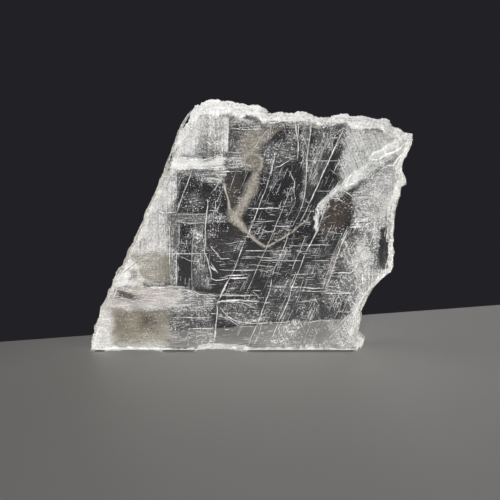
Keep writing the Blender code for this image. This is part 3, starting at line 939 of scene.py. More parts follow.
# ---------------------------------------------------------------------------------------
# Cleavage cracks: open splits that cross the leaves, most of them along the crystal's
# second cleavage. Seen from the front they are thin bright lines.

CRACK_STEP = 1.1 * MM  # how finely a crack is cut up along its length
CRACK_RAGGED = 0.16 * MM  # how far it wanders
WANDER_GRAIN = 2.2 * MM  # over what length it wanders
SWELL_GRAIN = 4 * MM  # over what length it swells and thins
CRACK_THINNEST = 0.35  # as a share of its width, where it thins and at its ends
CRACK_TAPER = 4  # steps from a fine end to full width
# The leaves that cracks cross, as the depths where a crack starts and ends, in mm.
OUTER_LEAF, SECOND_LEAF, THIRD_LEAF = (-6.6, -5.9), (-4.6, -3.4), (-2.4, -1.2)
MIDDLE_LEAF, FOURTH_LEAF = (-1.5, 0.5), (0.8, 2.2)
# Each crack: its leaf, how wide it looks from the front, and its line as (x, z), in mm.
CRACKS = (
    (OUTER_LEAF, 0.29, ((-28, 91.8), (-30, 86.2), (-32, 81.2), (-34, 75.8), (-36, 70.2))),
    (SECOND_LEAF, 0.27, ((-13.5, 88.8), (-15, 85.2), (-17, 81.8), (-19.5, 79.2))),
    (THIRD_LEAF, 0.22, ((-7, 90.2), (-8.5, 85.2), (-10, 80.8))),
    (THIRD_LEAF, 0.25, ((-1, 90.2), (-3, 85.2), (-5, 80.8))),
    (OUTER_LEAF, 0.37, (
        (-20.8, 76.8), (-20.8, 72.8), (-21.5, 68.8), (-21.8, 65.2), (-22, 61.2),
        (-21.8, 57.8), (-22, 54.2), (-22.5, 50.2), (-21.2, 47.2), (-20.5, 44.2),
        (-19.5, 40.2), (-19, 36.8))),
    (OUTER_LEAF, 0.37, (
        (12.5, 100.2), (10.5, 91.2), (8, 82.2), (5.5, 76.2), (3, 69.2), (0.5, 62.8),
        (-1.5, 57.8))),
    (OUTER_LEAF, 0.34, ((-2, 57.2), (-4, 52.2), (-5.5, 48.2), (-8, 41.2), (-10, 37.2))),
    (OUTER_LEAF, 0.81, (
        (-10, 37.2), (-11.5, 34.8), (-12.5, 32.8), (-14, 29.8), (-15, 27.2))),
    (OUTER_LEAF, 0.33, ((-15, 27.2), (-16.5, 24.8))),
    (SECOND_LEAF, 0.31, (
        (20.5, 82.8), (17.5, 75.2), (15, 68.8), (12.5, 62.8), (9.5, 55.2), (7, 49.8),
        (4, 43.2), (1, 35.8), (-1.5, 30.2))),
    (SECOND_LEAF, 0.25, ((-1.5, 30.2), (-3, 26.2), (-5.5, 20.8), (-8, 15.8), (-9.5, 12.2))),
    (OUTER_LEAF, 0.29, (
        (20, 62.2), (19, 59.8), (17.5, 54.8), (15, 48.2), (12, 41.8), (10.5, 36.8))),
    (OUTER_LEAF, 0.89, ((10.8, 36.8), (10.5, 34.8), (10.2, 32.8))),
    (OUTER_LEAF, 0.37, (
        (10.2, 32.8), (9, 28.2), (7.5, 24.8), (6.5, 22.2), (5.5, 18.8), (4, 14.8),
        (2, 10.8), (0.5, 6.8), (-1, 2.8))),
    (OUTER_LEAF, 0.29, ((6, 14.2), (4, 7.8), (1.5, 2.2))),
    (SECOND_LEAF, 0.28, ((28, 58.8), (24, 49.2), (22, 44.2), (20.5, 40.2))),
    (OUTER_LEAF, 0.55, ((34, 62.8), (32, 58.8), (30, 54.8), (27.5, 50.2))),
    (OUTER_LEAF, 0.33, (
        (27.5, 50.2), (25, 43.2), (23.5, 39.2), (20.5, 31.8), (19.5, 26.8), (17.5, 22.2),
        (15.5, 17.8), (14, 14.2), (12, 9.2), (10, 4.8))),
    (SECOND_LEAF, 0.25, ((19, 29.8), (16, 22.8), (14, 17.8), (11.5, 11.8))),
    (THIRD_LEAF, 0.25, ((20.5, 28.8), (18, 22.2), (15.5, 15.8))),
    (SECOND_LEAF, 0.24, (
        (27.5, 38.8), (25.5, 33.2), (24.5, 28.2), (22.5, 23.2), (21, 20.2), (18.5, 14.8),
        (17, 10.2), (15, 6.2))),
    (THIRD_LEAF, 0.22, ((32, 23.2), (30, 18.8), (27.5, 12.8), (25.5, 8.8), (23.5, 5.2))),
    (OUTER_LEAF, 0.29, (
        (48.5, 61.2), (45, 53.8), (43, 47.8), (41.5, 43.2), (39.5, 37.8), (38, 32.8))),
    (SECOND_LEAF, 0.27, (
        (45.5, 59.2), (42.5, 52.2), (40.5, 46.8), (39, 41.2), (37, 35.2), (36.5, 31.8))),
    (THIRD_LEAF, 0.22, ((42, 28.8), (40, 22.8), (39.8, 18.8))),
    (SECOND_LEAF, 0.24, ((46.5, 27.8), (44, 20.2), (42, 16.2), (40, 9.8), (38.5, 6.2))),
    (OUTER_LEAF, 0.45, ((52, 20.2), (47.5, 17.2), (44.5, 13.8), (42, 11.8))),
    (OUTER_LEAF, 0.37, ((47, 14.2), (45, 11.8), (41.5, 9.2), (39, 6.2))),
    (THIRD_LEAF, 0.45, (
        (22.2, 114.8), (22.5, 110.8), (23.2, 106.8), (23.8, 103.8), (23.5, 98.2),
        (23.2, 95.2))),
    (THIRD_LEAF, 0.25, ((19.5, 105.5), (22, 106.8), (23, 108.2))),
    (THIRD_LEAF, 0.45, (
        (30, 114.2), (29.5, 108.8), (28.8, 102.8), (28, 97.8), (27.8, 90.2), (27.5, 82.8),
        (27, 78.8), (26, 73.8), (25, 70.8))),
    (THIRD_LEAF, 0.29, ((25, 70.8), (22.5, 65.8), (21, 62.8))),
    (SECOND_LEAF, 0.25, ((27.5, 99.8), (26, 96.2), (24.5, 91.8))),
    (OUTER_LEAF, 0.52, (
        (45, 109.8), (42.5, 104.2), (40, 98.8), (37.5, 93.2), (35, 87.8), (33, 82.8),
        (31.5, 79.8), (29.5, 75.2))),
    (OUTER_LEAF, 0.35, ((29.5, 75.2), (27.5, 70.8), (25.5, 66.8), (24.5, 64.8))),
    (FOURTH_LEAF, 0.25, ((40, 108.8), (38, 104.2), (36, 99.8), (34, 95.2), (32, 89.2))),
    (FOURTH_LEAF, 0.25, ((37, 109.8), (35.5, 105.2), (33, 99.2), (31, 93.8), (29.5, 87.2))),
    (THIRD_LEAF, 0.22, ((16.5, 113.2), (17.5, 109.2))),
    (OUTER_LEAF, 0.34, (
        (18, 91.2), (19.5, 90.2), (20.8, 87.2), (22, 85.2), (21.5, 81.2), (22, 78.2),
        (22.2, 75.8), (21.5, 72.8))),
    (OUTER_LEAF, 0.25, ((20.5, 79.8), (20.8, 76.8), (21.2, 74.8))),
    (FOURTH_LEAF, 0.2, ((39, 91.2), (43.5, 87.8))),
    (OUTER_LEAF, 0.33, (
        (45, 86.2), (43, 84.2), (41.5, 81.8), (39, 79.2), (36, 76.8), (33.5, 74.2),
        (32.5, 71.2), (32, 69.2))),
    (OUTER_LEAF, 0.59, ((32.2, 69.2), (33, 65.2), (32.8, 62.8), (33.8, 61.2))),
    (OUTER_LEAF, 0.45, ((33.8, 61.2), (31.5, 57.8))),
    (SECOND_LEAF, 0.27, ((39.5, 74.8), (37, 70.8), (36, 68.8), (34.5, 64.2), (33.5, 60.8))),
    (OUTER_LEAF, 0.25, ((36.5, 67.2), (39.5, 68.8))),
    (THIRD_LEAF, 0.22, ((43, 66.2), (41.5, 62.8), (40, 58.8))),
    (OUTER_LEAF, 0.25, ((9, 111.2), (5, 106.2), (1, 100.2))),
    (THIRD_LEAF, 0.21, ((-27, 62.8), (-28.5, 55.2), (-29, 45.2), (-29, 33.2))),
    (THIRD_LEAF, 0.21, ((-35, 64.2), (-35.2, 54.2), (-37.5, 51.2))),
    (THIRD_LEAF, 0.22, ((-36.5, 51.2), (-36.5, 34.2))),
    (OUTER_LEAF, 0.27, ((-39.8, 64.2), (-39.5, 55.2), (-40, 44.2))),
    (OUTER_LEAF, 0.33, ((-10.5, 116.2), (-10.8, 110.2), (-11, 104.2), (-11, 99.2))),
    (SECOND_LEAF, 0.25, ((-45, 82.2), (-45.2, 77.2), (-45, 70.8))),
    (OUTER_LEAF, 0.45, (
        (-16.5, 24.2), (-16.2, 21.2), (-16.5, 17.8), (-17, 14.2), (-17.2, 11.2),
        (-17.5, 7.8), (-18, 4.8))),
    (OUTER_LEAF, 0.25, ((-17, 24.2), (-20, 20.8))),
    (THIRD_LEAF, 0.22, ((-30.5, 10.8), (-32, 5.8))),
    (OUTER_LEAF, 0.75, (
        (77, 107.2), (73.5, 106.2), (70, 104.2), (67, 103.2), (65, 101.2), (60, 99.2),
        (59, 96.2), (63, 96.2), (65.5, 98.2), (69, 99.2), (72, 100.8), (75, 103.2))),
    (OUTER_LEAF, 0.70, (
        (56, 90.2), (52, 91.2), (50, 89.2), (48, 87.2), (47.5, 85.2), (46, 83.2),
        (50, 84.2), (52, 86.2), (55, 87.2))),
    (OUTER_LEAF, 0.60, (
        (46, 84.8), (43.5, 82.8), (42, 81.2), (40, 78.2), (37.5, 77.2), (35, 75.2),
        (33, 72.2), (34, 68.2), (33, 64.8))),
    (OUTER_LEAF, 0.45, ((64, 91.2), (67, 93.2), (70, 93.2), (72, 96.2), (74.5, 99.2))),
    (SECOND_LEAF, 0.40, ((58, 93.8), (62, 94.8), (65, 94.2), (69, 96.8))),
    (SECOND_LEAF, 0.35, ((44, 81.2), (47, 80.2), (50, 78.2), (52, 75.2))),
    (SECOND_LEAF, 0.35, ((40, 76.8), (43.5, 76.8), (46, 74.8))),
)
LEVEL_CRACKS = (
    (OUTER_LEAF, 0.3, (
        (-39, 91.8), (-36, 91.5), (-30, 91.5), (-25.5, 92), (-19, 91.5), (-12, 91.2))),
    (OUTER_LEAF, 0.61, ((-12.5, 90.5), (-10, 90.3))),
    (OUTER_LEAF, 0.3, ((-10, 90.2), (-7, 90.5), (-4, 90.2))),
    (OUTER_LEAF, 0.41, (
        (-36, 98), (-32, 97), (-27.5, 96), (-23, 96), (-19, 97), (-15.5, 98.5))),
    (SECOND_LEAF, 0.2, ((-27.5, 93.2), (-22.5, 94.8), (-17.5, 94.8))),
    (OUTER_LEAF, 0.63, ((-21, 104.8), (-19, 103.5), (-17, 104), (-15, 103.5))),
    (OUTER_LEAF, 0.41, ((-19, 106), (-17.5, 104.8), (-15.5, 105.2))),
    (OUTER_LEAF, 0.3, ((-45, 70.5), (-41, 69.8), (-36, 70.2))),
    (SECOND_LEAF, 0.23, ((-36, 69.2), (-27.5, 69), (-21.5, 69.2))),
    (SECOND_LEAF, 0.24, ((-36, 65.2), (-30, 64.5), (-22.5, 64.8))),
    (OUTER_LEAF, 0.24, ((-9.5, 111.5), (-2.5, 110.8), (6, 111.2))),
    (THIRD_LEAF, 0.23, ((-10.5, 99.5), (-3.5, 99.2))),
    (OUTER_LEAF, 0.3, ((12, 92.2), (14.5, 92.8), (17.5, 94.8), (19.5, 95.8))),
    (OUTER_LEAF, 0.81, ((19.5, 96.2), (20.5, 96.8))),
    (THIRD_LEAF, 0.3, ((10.5, 90.2), (12.5, 91))),
    (FOURTH_LEAF, 0.2, ((27.5, 95.2), (36, 95.1), (45.5, 95.2))),
    (FOURTH_LEAF, 0.2, ((33, 80.2), (37, 80), (40, 80.2))),
    (OUTER_LEAF, 0.41, ((-1, 72.2), (4, 72), (10, 72.2), (14.5, 72.2))),
    (OUTER_LEAF, 0.27, ((0.5, 65.8), (6, 65.5), (12, 65.8))),
    (SECOND_LEAF, 0.3, ((6, 61.2), (9, 60.2), (12, 60.8))),
    (OUTER_LEAF, 0.23, ((11, 63.5), (17, 63), (21, 63.5))),
    (OUTER_LEAF, 0.5, ((19.5, 53.8), (22.5, 53.5), (25.5, 53.5))),
    (SECOND_LEAF, 0.22, ((25.5, 53.5), (33, 53.8), (40, 53.8))),
    (SECOND_LEAF, 0.27, ((-2.5, 47.8), (4, 47.7), (10, 47.1), (14, 47.8))),
    (SECOND_LEAF, 0.23, ((-2.5, 50.8), (6, 50.8), (15, 50.5))),
    (SECOND_LEAF, 0.27, ((5, 43.5), (8, 42.9), (11, 43))),
    (OUTER_LEAF, 0.3, ((5, 41), (8, 40.8), (10.5, 41.2))),
    (OUTER_LEAF, 0.3, ((-15, 41.5), (-9, 41.2), (-2.5, 41.2), (4, 41.4))),
    (THIRD_LEAF, 0.23, ((-1.5, 43.2), (2, 43.6), (4.5, 43.2))),
    (FOURTH_LEAF, 0.2, ((5, 45.5), (15, 45.2), (25.5, 45.2))),
    (FOURTH_LEAF, 0.2, ((30.5, 45.2), (40, 45.2))),
    (THIRD_LEAF, 0.2, ((21, 38.5), (28, 38.8))),
    (OUTER_LEAF, 0.5, ((19.5, 32.8), (22.5, 32.6), (25.5, 32.8))),
    (OUTER_LEAF, 0.34, ((25.5, 32.8), (31, 32.1), (36.5, 32.2))),
    (OUTER_LEAF, 0.3, ((25.5, 30.8), (33.5, 30.5), (39, 30.8))),
    (OUTER_LEAF, 0.27, ((36.5, 29.8), (45, 29.6), (51.5, 29.8))),
    (THIRD_LEAF, 0.2, ((8.5, 32.8), (17.5, 32.5))),
    (OUTER_LEAF, 0.3, ((1.5, 31), (5.5, 31))),
    (OUTER_LEAF, 0.24, ((1.5, 30.2), (3.5, 28.8), (5, 26.8))),
    (OUTER_LEAF, 0.61, (
        (-16.5, 24.9), (-14, 25.8), (-10, 26.1), (-5, 26.2), (0, 25.8), (4.5, 25.6))),
    (OUTER_LEAF, 0.3, ((-15.5, 28.8), (-10, 28.6), (-4.5, 28.5), (1.5, 28.8))),
    (OUTER_LEAF, 0.41, ((-12, 38.5), (-7.5, 38.7), (-3, 38.8))),
    (OUTER_LEAF, 0.54, ((-10.5, 37.2), (-6, 37.2), (-1.5, 37.5))),
    (OUTER_LEAF, 0.41, ((-19.5, 37.2), (-17, 36.1), (-14, 36.4), (-11, 37.2))),
    (OUTER_LEAF, 0.3, ((-19.5, 45.2), (-18, 42.8), (-16, 39.8))),
    (OUTER_LEAF, 0.88, ((-20, 43.8), (-18.5, 42.2), (-16.5, 40.8))),
    (OUTER_LEAF, 0.23, ((-20, 53.8), (-17.5, 50.8), (-14.5, 47.2), (-10.5, 47))),
    (OUTER_LEAF, 0.81, ((-12, 47.1), (-10.5, 47.1))),
    (THIRD_LEAF, 0.24, ((-4.5, 46.8), (2.5, 46.8))),
    (SECOND_LEAF, 0.24, ((-34.5, 47.8), (-32.5, 47.2), (-30, 45.8), (-26, 45.2))),
    (SECOND_LEAF, 0.2, ((-39.5, 49.5), (-31, 49.2), (-22.5, 49.5))),
    (OUTER_LEAF, 0.34, ((-66.5, 34.2), (-64, 33.1), (-61, 32.1), (-58.5, 30.8))),
    (OUTER_LEAF, 0.3, (
        (-58.5, 33.2), (-52.5, 32.9), (-46, 32.2), (-39.5, 33.1), (-32.5, 32.8))),
    (OUTER_LEAF, 0.61, ((-33, 31.8), (-30, 30.8), (-28.5, 31.2))),
    (OUTER_LEAF, 0.34, ((-28.5, 30.8), (-25, 29.2), (-18.5, 28.8), (-16, 28.2))),
    (SECOND_LEAF, 0.27, ((-57, 29.8), (-47.5, 29.2), (-39, 27.8), (-32, 28.2))),
    (SECOND_LEAF, 0.24, ((-66, 24.8), (-61, 23.4), (-55, 23.8), (-49, 21.8), (-41, 21.4))),
    (SECOND_LEAF, 0.23, ((-52, 26.8), (-45, 26.2), (-37, 24.8), (-30, 25.2))),
    (OUTER_LEAF, 0.3, ((-39.5, 21.2), (-37, 20.6), (-34, 20.8))),
    (OUTER_LEAF, 0.41, ((-19.5, 19.5), (-17, 19.3))),
    (OUTER_LEAF, 0.23, ((-35, 17.5), (-27.5, 17.3), (-20.5, 17.2))),
    (OUTER_LEAF, 0.32, ((-31, 11.2), (-27.5, 11.8), (-23.5, 11.7), (-18, 11.9))),
    (SECOND_LEAF, 0.23, ((-37.5, 5.5), (-32.5, 5.2))),
    (OUTER_LEAF, 0.34, ((-14, 21.2), (-11, 17.8), (-7.5, 15.8), (-3.5, 14.8), (2.5, 14.5))),
    (OUTER_LEAF, 0.24, ((-14, 17.8), (-10, 16.2), (-6, 13.2), (-2.5, 12.8), (2.5, 12.8))),
    (SECOND_LEAF, 0.23, ((-15, 25.2), (-7.5, 25.1), (-2.5, 24.2), (2.5, 21.8))),
    (OUTER_LEAF, 0.88, ((-12.5, 11.1), (-10.5, 11.4))),
    (OUTER_LEAF, 0.75, ((1.5, 15.9), (3, 16.1))),
    (OUTER_LEAF, 0.24, ((-2.5, 14.2), (4, 14.5), (11, 14.7), (17.5, 14.8), (20.5, 15.1))),
    (OUTER_LEAF, 0.34, ((27.5, 15.2), (29.5, 14.7), (34.5, 15.7))),
    (SECOND_LEAF, 0.2, ((34.5, 15.7), (40, 15.4), (44, 15.6))),
    (OUTER_LEAF, 0.41, ((16, 12.8), (18, 12.6), (20.5, 14.2))),
    (OUTER_LEAF, 0.34, ((17, 10.5), (20, 10.2), (23.5, 10.5))),
    (OUTER_LEAF, 0.75, ((49, 62.8), (51.5, 63), (54.5, 63))),
    (OUTER_LEAF, 0.3, ((50, 64.2), (53.5, 64))),
    (OUTER_LEAF, 0.34, ((55, 61.8), (57.5, 64.2), (60.5, 65.5))),
    (OUTER_LEAF, 0.32, (
        (61, 59.8), (60, 56.2), (59, 53.8), (56.5, 51.2), (52.5, 50.2), (50, 47.8))),
    (OUTER_LEAF, 0.34, ((40.5, 39.8), (45, 40.1), (49.5, 39.8), (52.5, 42.2), (53, 44.8))),
    (OUTER_LEAF, 0.3, (
        (55.5, 42.8), (55.8, 38.8), (55.8, 34.8), (52.5, 31.8), (51.5, 29.8))),
    (SECOND_LEAF, 0.3, ((57, 53.8), (56.5, 49.2), (55, 44.2))),
    (OUTER_LEAF, 0.3, ((47, 20.2), (51, 20.1), (54, 20.2))),
    (SECOND_LEAF, 0.24, ((43.5, 37.2), (45.5, 38.8), (47.5, 36.8), (45.5, 34.8))),
    (SECOND_LEAF, 0.24, ((51, 50.2), (50, 52.2), (52, 54.8), (54, 57.2))),
)
# Bruises that follow the rims, just inside them.
RIM_BRUISES = (
    (MIDDLE_LEAF, 1.10, (
        (-28.5, 119.8), (-31.5, 115.8), (-35, 109.2), (-37.5, 102.2), (-40, 95.8),
        (-44, 84.8), (-49, 73.8), (-56.5, 57.2), (-62.5, 42.8), (-69, 30.8), (-74.5, 19.2),
        (-78.5, 7.2), (-80, 1.2))),
    (MIDDLE_LEAF, 1.00, (
        (80, 105.2), (77.5, 100.2), (75, 93.8), (74.5, 90.2), (75.5, 87.2), (76, 84.2),
        (74, 81.2), (73.5, 76.8), (72, 70.2), (71.5, 64.2), (71, 55.2), (71, 44.2),
        (68, 39.2), (61, 30.2), (57, 23.2), (54.5, 16.2), (53.5, 9.2))),
)


def crack_strips(edit, leaf, width, line):
    """Adds one crack: its line swept back through its leaf, leaning sideways by its
    width and wandering a little."""
    start, end = leaf
    route = [Vector((x * MM, 0.0, z * MM)) for x, z in line]
    points = []
    for here, there in zip(route, route[1:]):
        count = max(int((there - here).length / CRACK_STEP), 1)
        points += [here.lerp(there, n / count) for n in range(count)]
    points.append(route[-1])
    rows = []
    for number, point in enumerate(points):
        along = points[min(number + 1, len(points) - 1)] - points[max(number - 1, 0)]
        side = Vector((-along.z, 0.0, along.x)).normalized()
        swell = 0.75 + 0.9 * (noise.noise(point / SWELL_GRAIN) + 0.3)
        steps_in = min(number, len(points) - 1 - number)
        ends = min(1.0, CRACK_THINNEST + steps_in / CRACK_TAPER)
        row = []
        for share in (0.0, 0.5, 1.0):
            place = Vector((point.x, (start + (end - start) * share) * MM, point.z))
            place += side * width * MM * (share - 0.5) * max(swell, CRACK_THINNEST) * ends
            wander = noise.noise_vector(point / WANDER_GRAIN) * CRACK_RAGGED
            row.append(edit.verts.new(place + Vector((wander.x, 0.0, wander.z))))
        rows.append(row)
    for row, following in zip(rows, rows[1:]):
        for n in range(2):
            edit.faces.new((row[n], row[n + 1], following[n + 1], following[n]))


def crack_mesh(name, cracks):
    edit = bmesh.new()
    for leaf, width, line in cracks:
        crack_strips(edit, leaf, width, line)
    mesh = bpy.data.meshes.new(name)
    edit.to_mesh(mesh)
    edit.free()
    return mesh


# An open crack in gypsum: its walls mirror the light by total reflection, so the whole
# plane looks silver-white, broken where the walls still touch.
open_crack, tree, output = new_material("gypsum_open_crack")
coordinates = object_coordinates(tree)
gaps = stretched_noise(tree, coordinates, (0.9 * MM, 2.5 * MM, 0.9 * MM), seed=21.0)
surface = add_node(
    tree, "ShaderNodeBsdfPrincipled",
    {"Base Color": linear("fdfcf9"), "Roughness": 0.4, "IOR": FILM_IOR,
     "Alpha": add_node(
         tree, "ShaderNodeMapRange",
         {"Value": gaps, "From Min": 0.36, "From Max": 0.58, "To Min": 0.35,
          "To Max": 0.95}).outputs[0]},
)
tree.links.new(surface.outputs[0], output.inputs["Surface"])

for name, cracks in (
    ("slanted_cracks", CRACKS), ("level_cracks", LEVEL_CRACKS),
    ("rim_bruises", RIM_BRUISES),
):
    piece = new_object(name, crack_mesh(name, cracks))
    piece.data.materials.append(open_crack)
    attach(piece, "root")

# ---------------------------------------------------------------------------------------
# Dashes: thousands of short slits between and across the leaves, each a sliver of trapped
# air that flashes white, as a painted glint. They lie in fields, level, slanted or upright
# as the cracks do.

DASH_CELL = 1.5 * MM  # the field's mesh is coarse, because it only says where they lie
DASH_CLUSTER = 7 * MM  # the size of the clusters that they gather in
DASH_CROWDED = (0.46, 0.62)  # the noise where a cluster begins, and where it is full
DASH_ROLL = (1.0, 2.1)  # radians about its length, so each catches the light its own way
DASH_THICKNESS = (0.6, 1.6)  # shares of the width
DASH_SIDES = 6  # of each sliver's outline
DASH_SEED = 40  # of the first field
# Each field: how many to a square cm where densest, the angle and its spread in degrees,
# the least and most length, the width, the depths that they lie between in mm, and the
# zones that they fill.
DASH_FIELDS = (
    ("level_dashes", 62.0, 0.0, 4.0, (0.6, 4.8), 0.105, (-6.6, 7), (
        ("middle", 1.0, 8.0, (
            (-6, 76.2), (25, 77.2), (47.5, 55.2), (42.5, 25.2), (6, 16.2), (-17.5, 25.2),
            (-19, 50.2), (-5, 59.2))),
        ("left", 0.45, 5.0, ((-36, 69.2), (-19, 69.2), (-19, 2.8), (-38, 2.8))),
        ("right", 0.15, 8.0, ((35, 60.2), (55, 67.8), (61, 35.2), (45, 5.2))),
        ("foot", 0.6, 5.0, ((-39, 26.2), (6, 26.2), (6, 2.8), (-39, 2.8))),
        ("upper", 0.2, 6.0, ((-10, 116.2), (47.5, 116.2), (35, 75.2), (-7.5, 75.2))),
    )),
    ("slanted_dashes", 38.0, SECOND_CLEAVAGE, 1.5, (2, 9), 0.105, (-6.6, 7), (
        ("middle", 0.5, 8.0, (
            (2.5, 90.2), (35, 100.2), (50, 55.2), (40, 2.8), (-12.5, 2.8), (-7.5, 55.2))),
        ("upper", 1.0, 6.0, ((25, 115.2), (75, 110.2), (47.5, 80.2), (25, 67.8))),
        ("right", 0.7, 6.0, ((30, 50.2), (61, 75.2), (58, 25.2), (35, 2.8), (20, 2.8))),
        ("left", 0.12, 6.0, ((-36, 89.2), (-12.5, 89.2), (-17.5, 2.8), (-39, 2.8))),
    )),
    ("upright_dashes", 12.0, 88.0, 4.0, (1.5, 7), 0.13, (-6.6, 7), (
        ("left", 0.8, 5.0, ((-36, 89.2), (-18, 89.2), (-18, 25.2), (-39, 5.2))),
        ("upper", 0.6, 6.0, (
            (-25, 120.2), (47.5, 117.8), (32.5, 85.2), (20, 75.2), (-10, 95.2))),
        ("edge", 0.5, 5.0, ((56, 85.2), (75, 95.2), (71, 75.2), (62, 65.2), (61, 25.2))),
        ("band", 0.3, 5.0, ((-50, 80.2), (-37, 90.2), (-39, 50.2), (-62.5, 50.2))),
    )),
    ("feather_fibres", 800.0, 50.0, 32.0, (0.6, 2.4), 0.17, (-6.6, 1), (
        ("feather", 1.0, 2.5, (
            (31.5, 71.2), (36, 76.2), (42.5, 81.2), (48, 86.2), (54, 92.2), (59, 97.8),
            (65, 103.2), (73, 108.8), (77, 106.2), (72.5, 99.2), (66, 94.2), (62, 89.2),
            (56, 86.2), (49.5, 81.8), (43.5, 77.2), (38.5, 73.2), (33.5, 66.2))),
        ("spread", 0.10, 6.0, (
            (47, 110.2), (74, 108.2), (75, 102.2), (63, 89.2), (50, 80.2), (46, 85.2))),
    )),
    ("foot_fibres", 150.0, 1.0, 4.0, (1.2, 6.5), 0.15, (-6.6, -5), (
        ("fibres", 1.0, 1.5, (
            (-69, 32.2), (-50, 32.8), (-34, 32.8), (-29, 30.8), (-22.5, 29.8), (-17, 28.2),
            (-19, 24.8), (-30, 23.8), (-55, 22.8), (-73, 23.2))),
        ("whiskers", 0.5, 4.0, ((-30, 31.2), (-14, 29.2), (-18, 24.2), (-30, 23.2))),
        ("shelf", 0.35, 2.0, ((-39, 96.2), (-14, 97.2), (-14, 91.8), (-41, 91.8))),
    )),
    ("fan_hairs", 80.0, -38.0, 8.0, (1.5, 5), 0.11, (-6.6, -4.5), (
        ("fan", 1.0, 3.0, ((-27, 90.8), (-11, 90.8), (-9, 80.2), (-14, 77.2), (-23, 85.2))),
        ("flow", 0.5, 4.0, ((-11, 26.2), (4, 26.2), (6, 15.2), (-5, 14.2))),
    )),
    ("flecks", 170.0, 20.0, 90.0, (0.26, 0.60), 0.28, (-6.6, 7.5), (
        ("left", 1.0, 6.0, ((-36, 89.2), (-12.5, 89.2), (-17.5, 2.8), (-39, 2.8))),
        ("middle", 0.32, 8.0, ((-12.5, 115.2), (47.5, 115.2), (47.5, 2.8), (-17, 2.8))),
        ("feather", 1.6, 4.0, (
            (30.5, 69.2), (47.5, 89.2), (58, 101.2), (73, 109.8), (78, 107.2), (68, 92.2),
            (49.5, 79.2), (34, 66.2))),
        ("upper", 0.9, 8.0, (
            (-25, 123.2), (75, 114.2), (75, 100.2), (47.5, 92.8), (-10, 100.2))),
        ("right", 0.7, 8.0, (
            (45, 95.2), (75, 100.2), (64, 65.2), (62, 35.2), (52.5, 2.8), (40, 2.8))),
        ("corner", 0.8, 4.0, ((-25, 119.2), (-12, 119.2), (-12, 91.2), (-25, 91.2))),
        ("band", 0.8, 5.0, ((-60, 49.2), (-39, 49.2), (-39, 2.8), (-70, 2.8))),
        ("sugar", 1.5, 3.0, ((-66, 44.2), (-57, 47.2), (-52, 33.2), (-68, 32.8))),
    )),
)


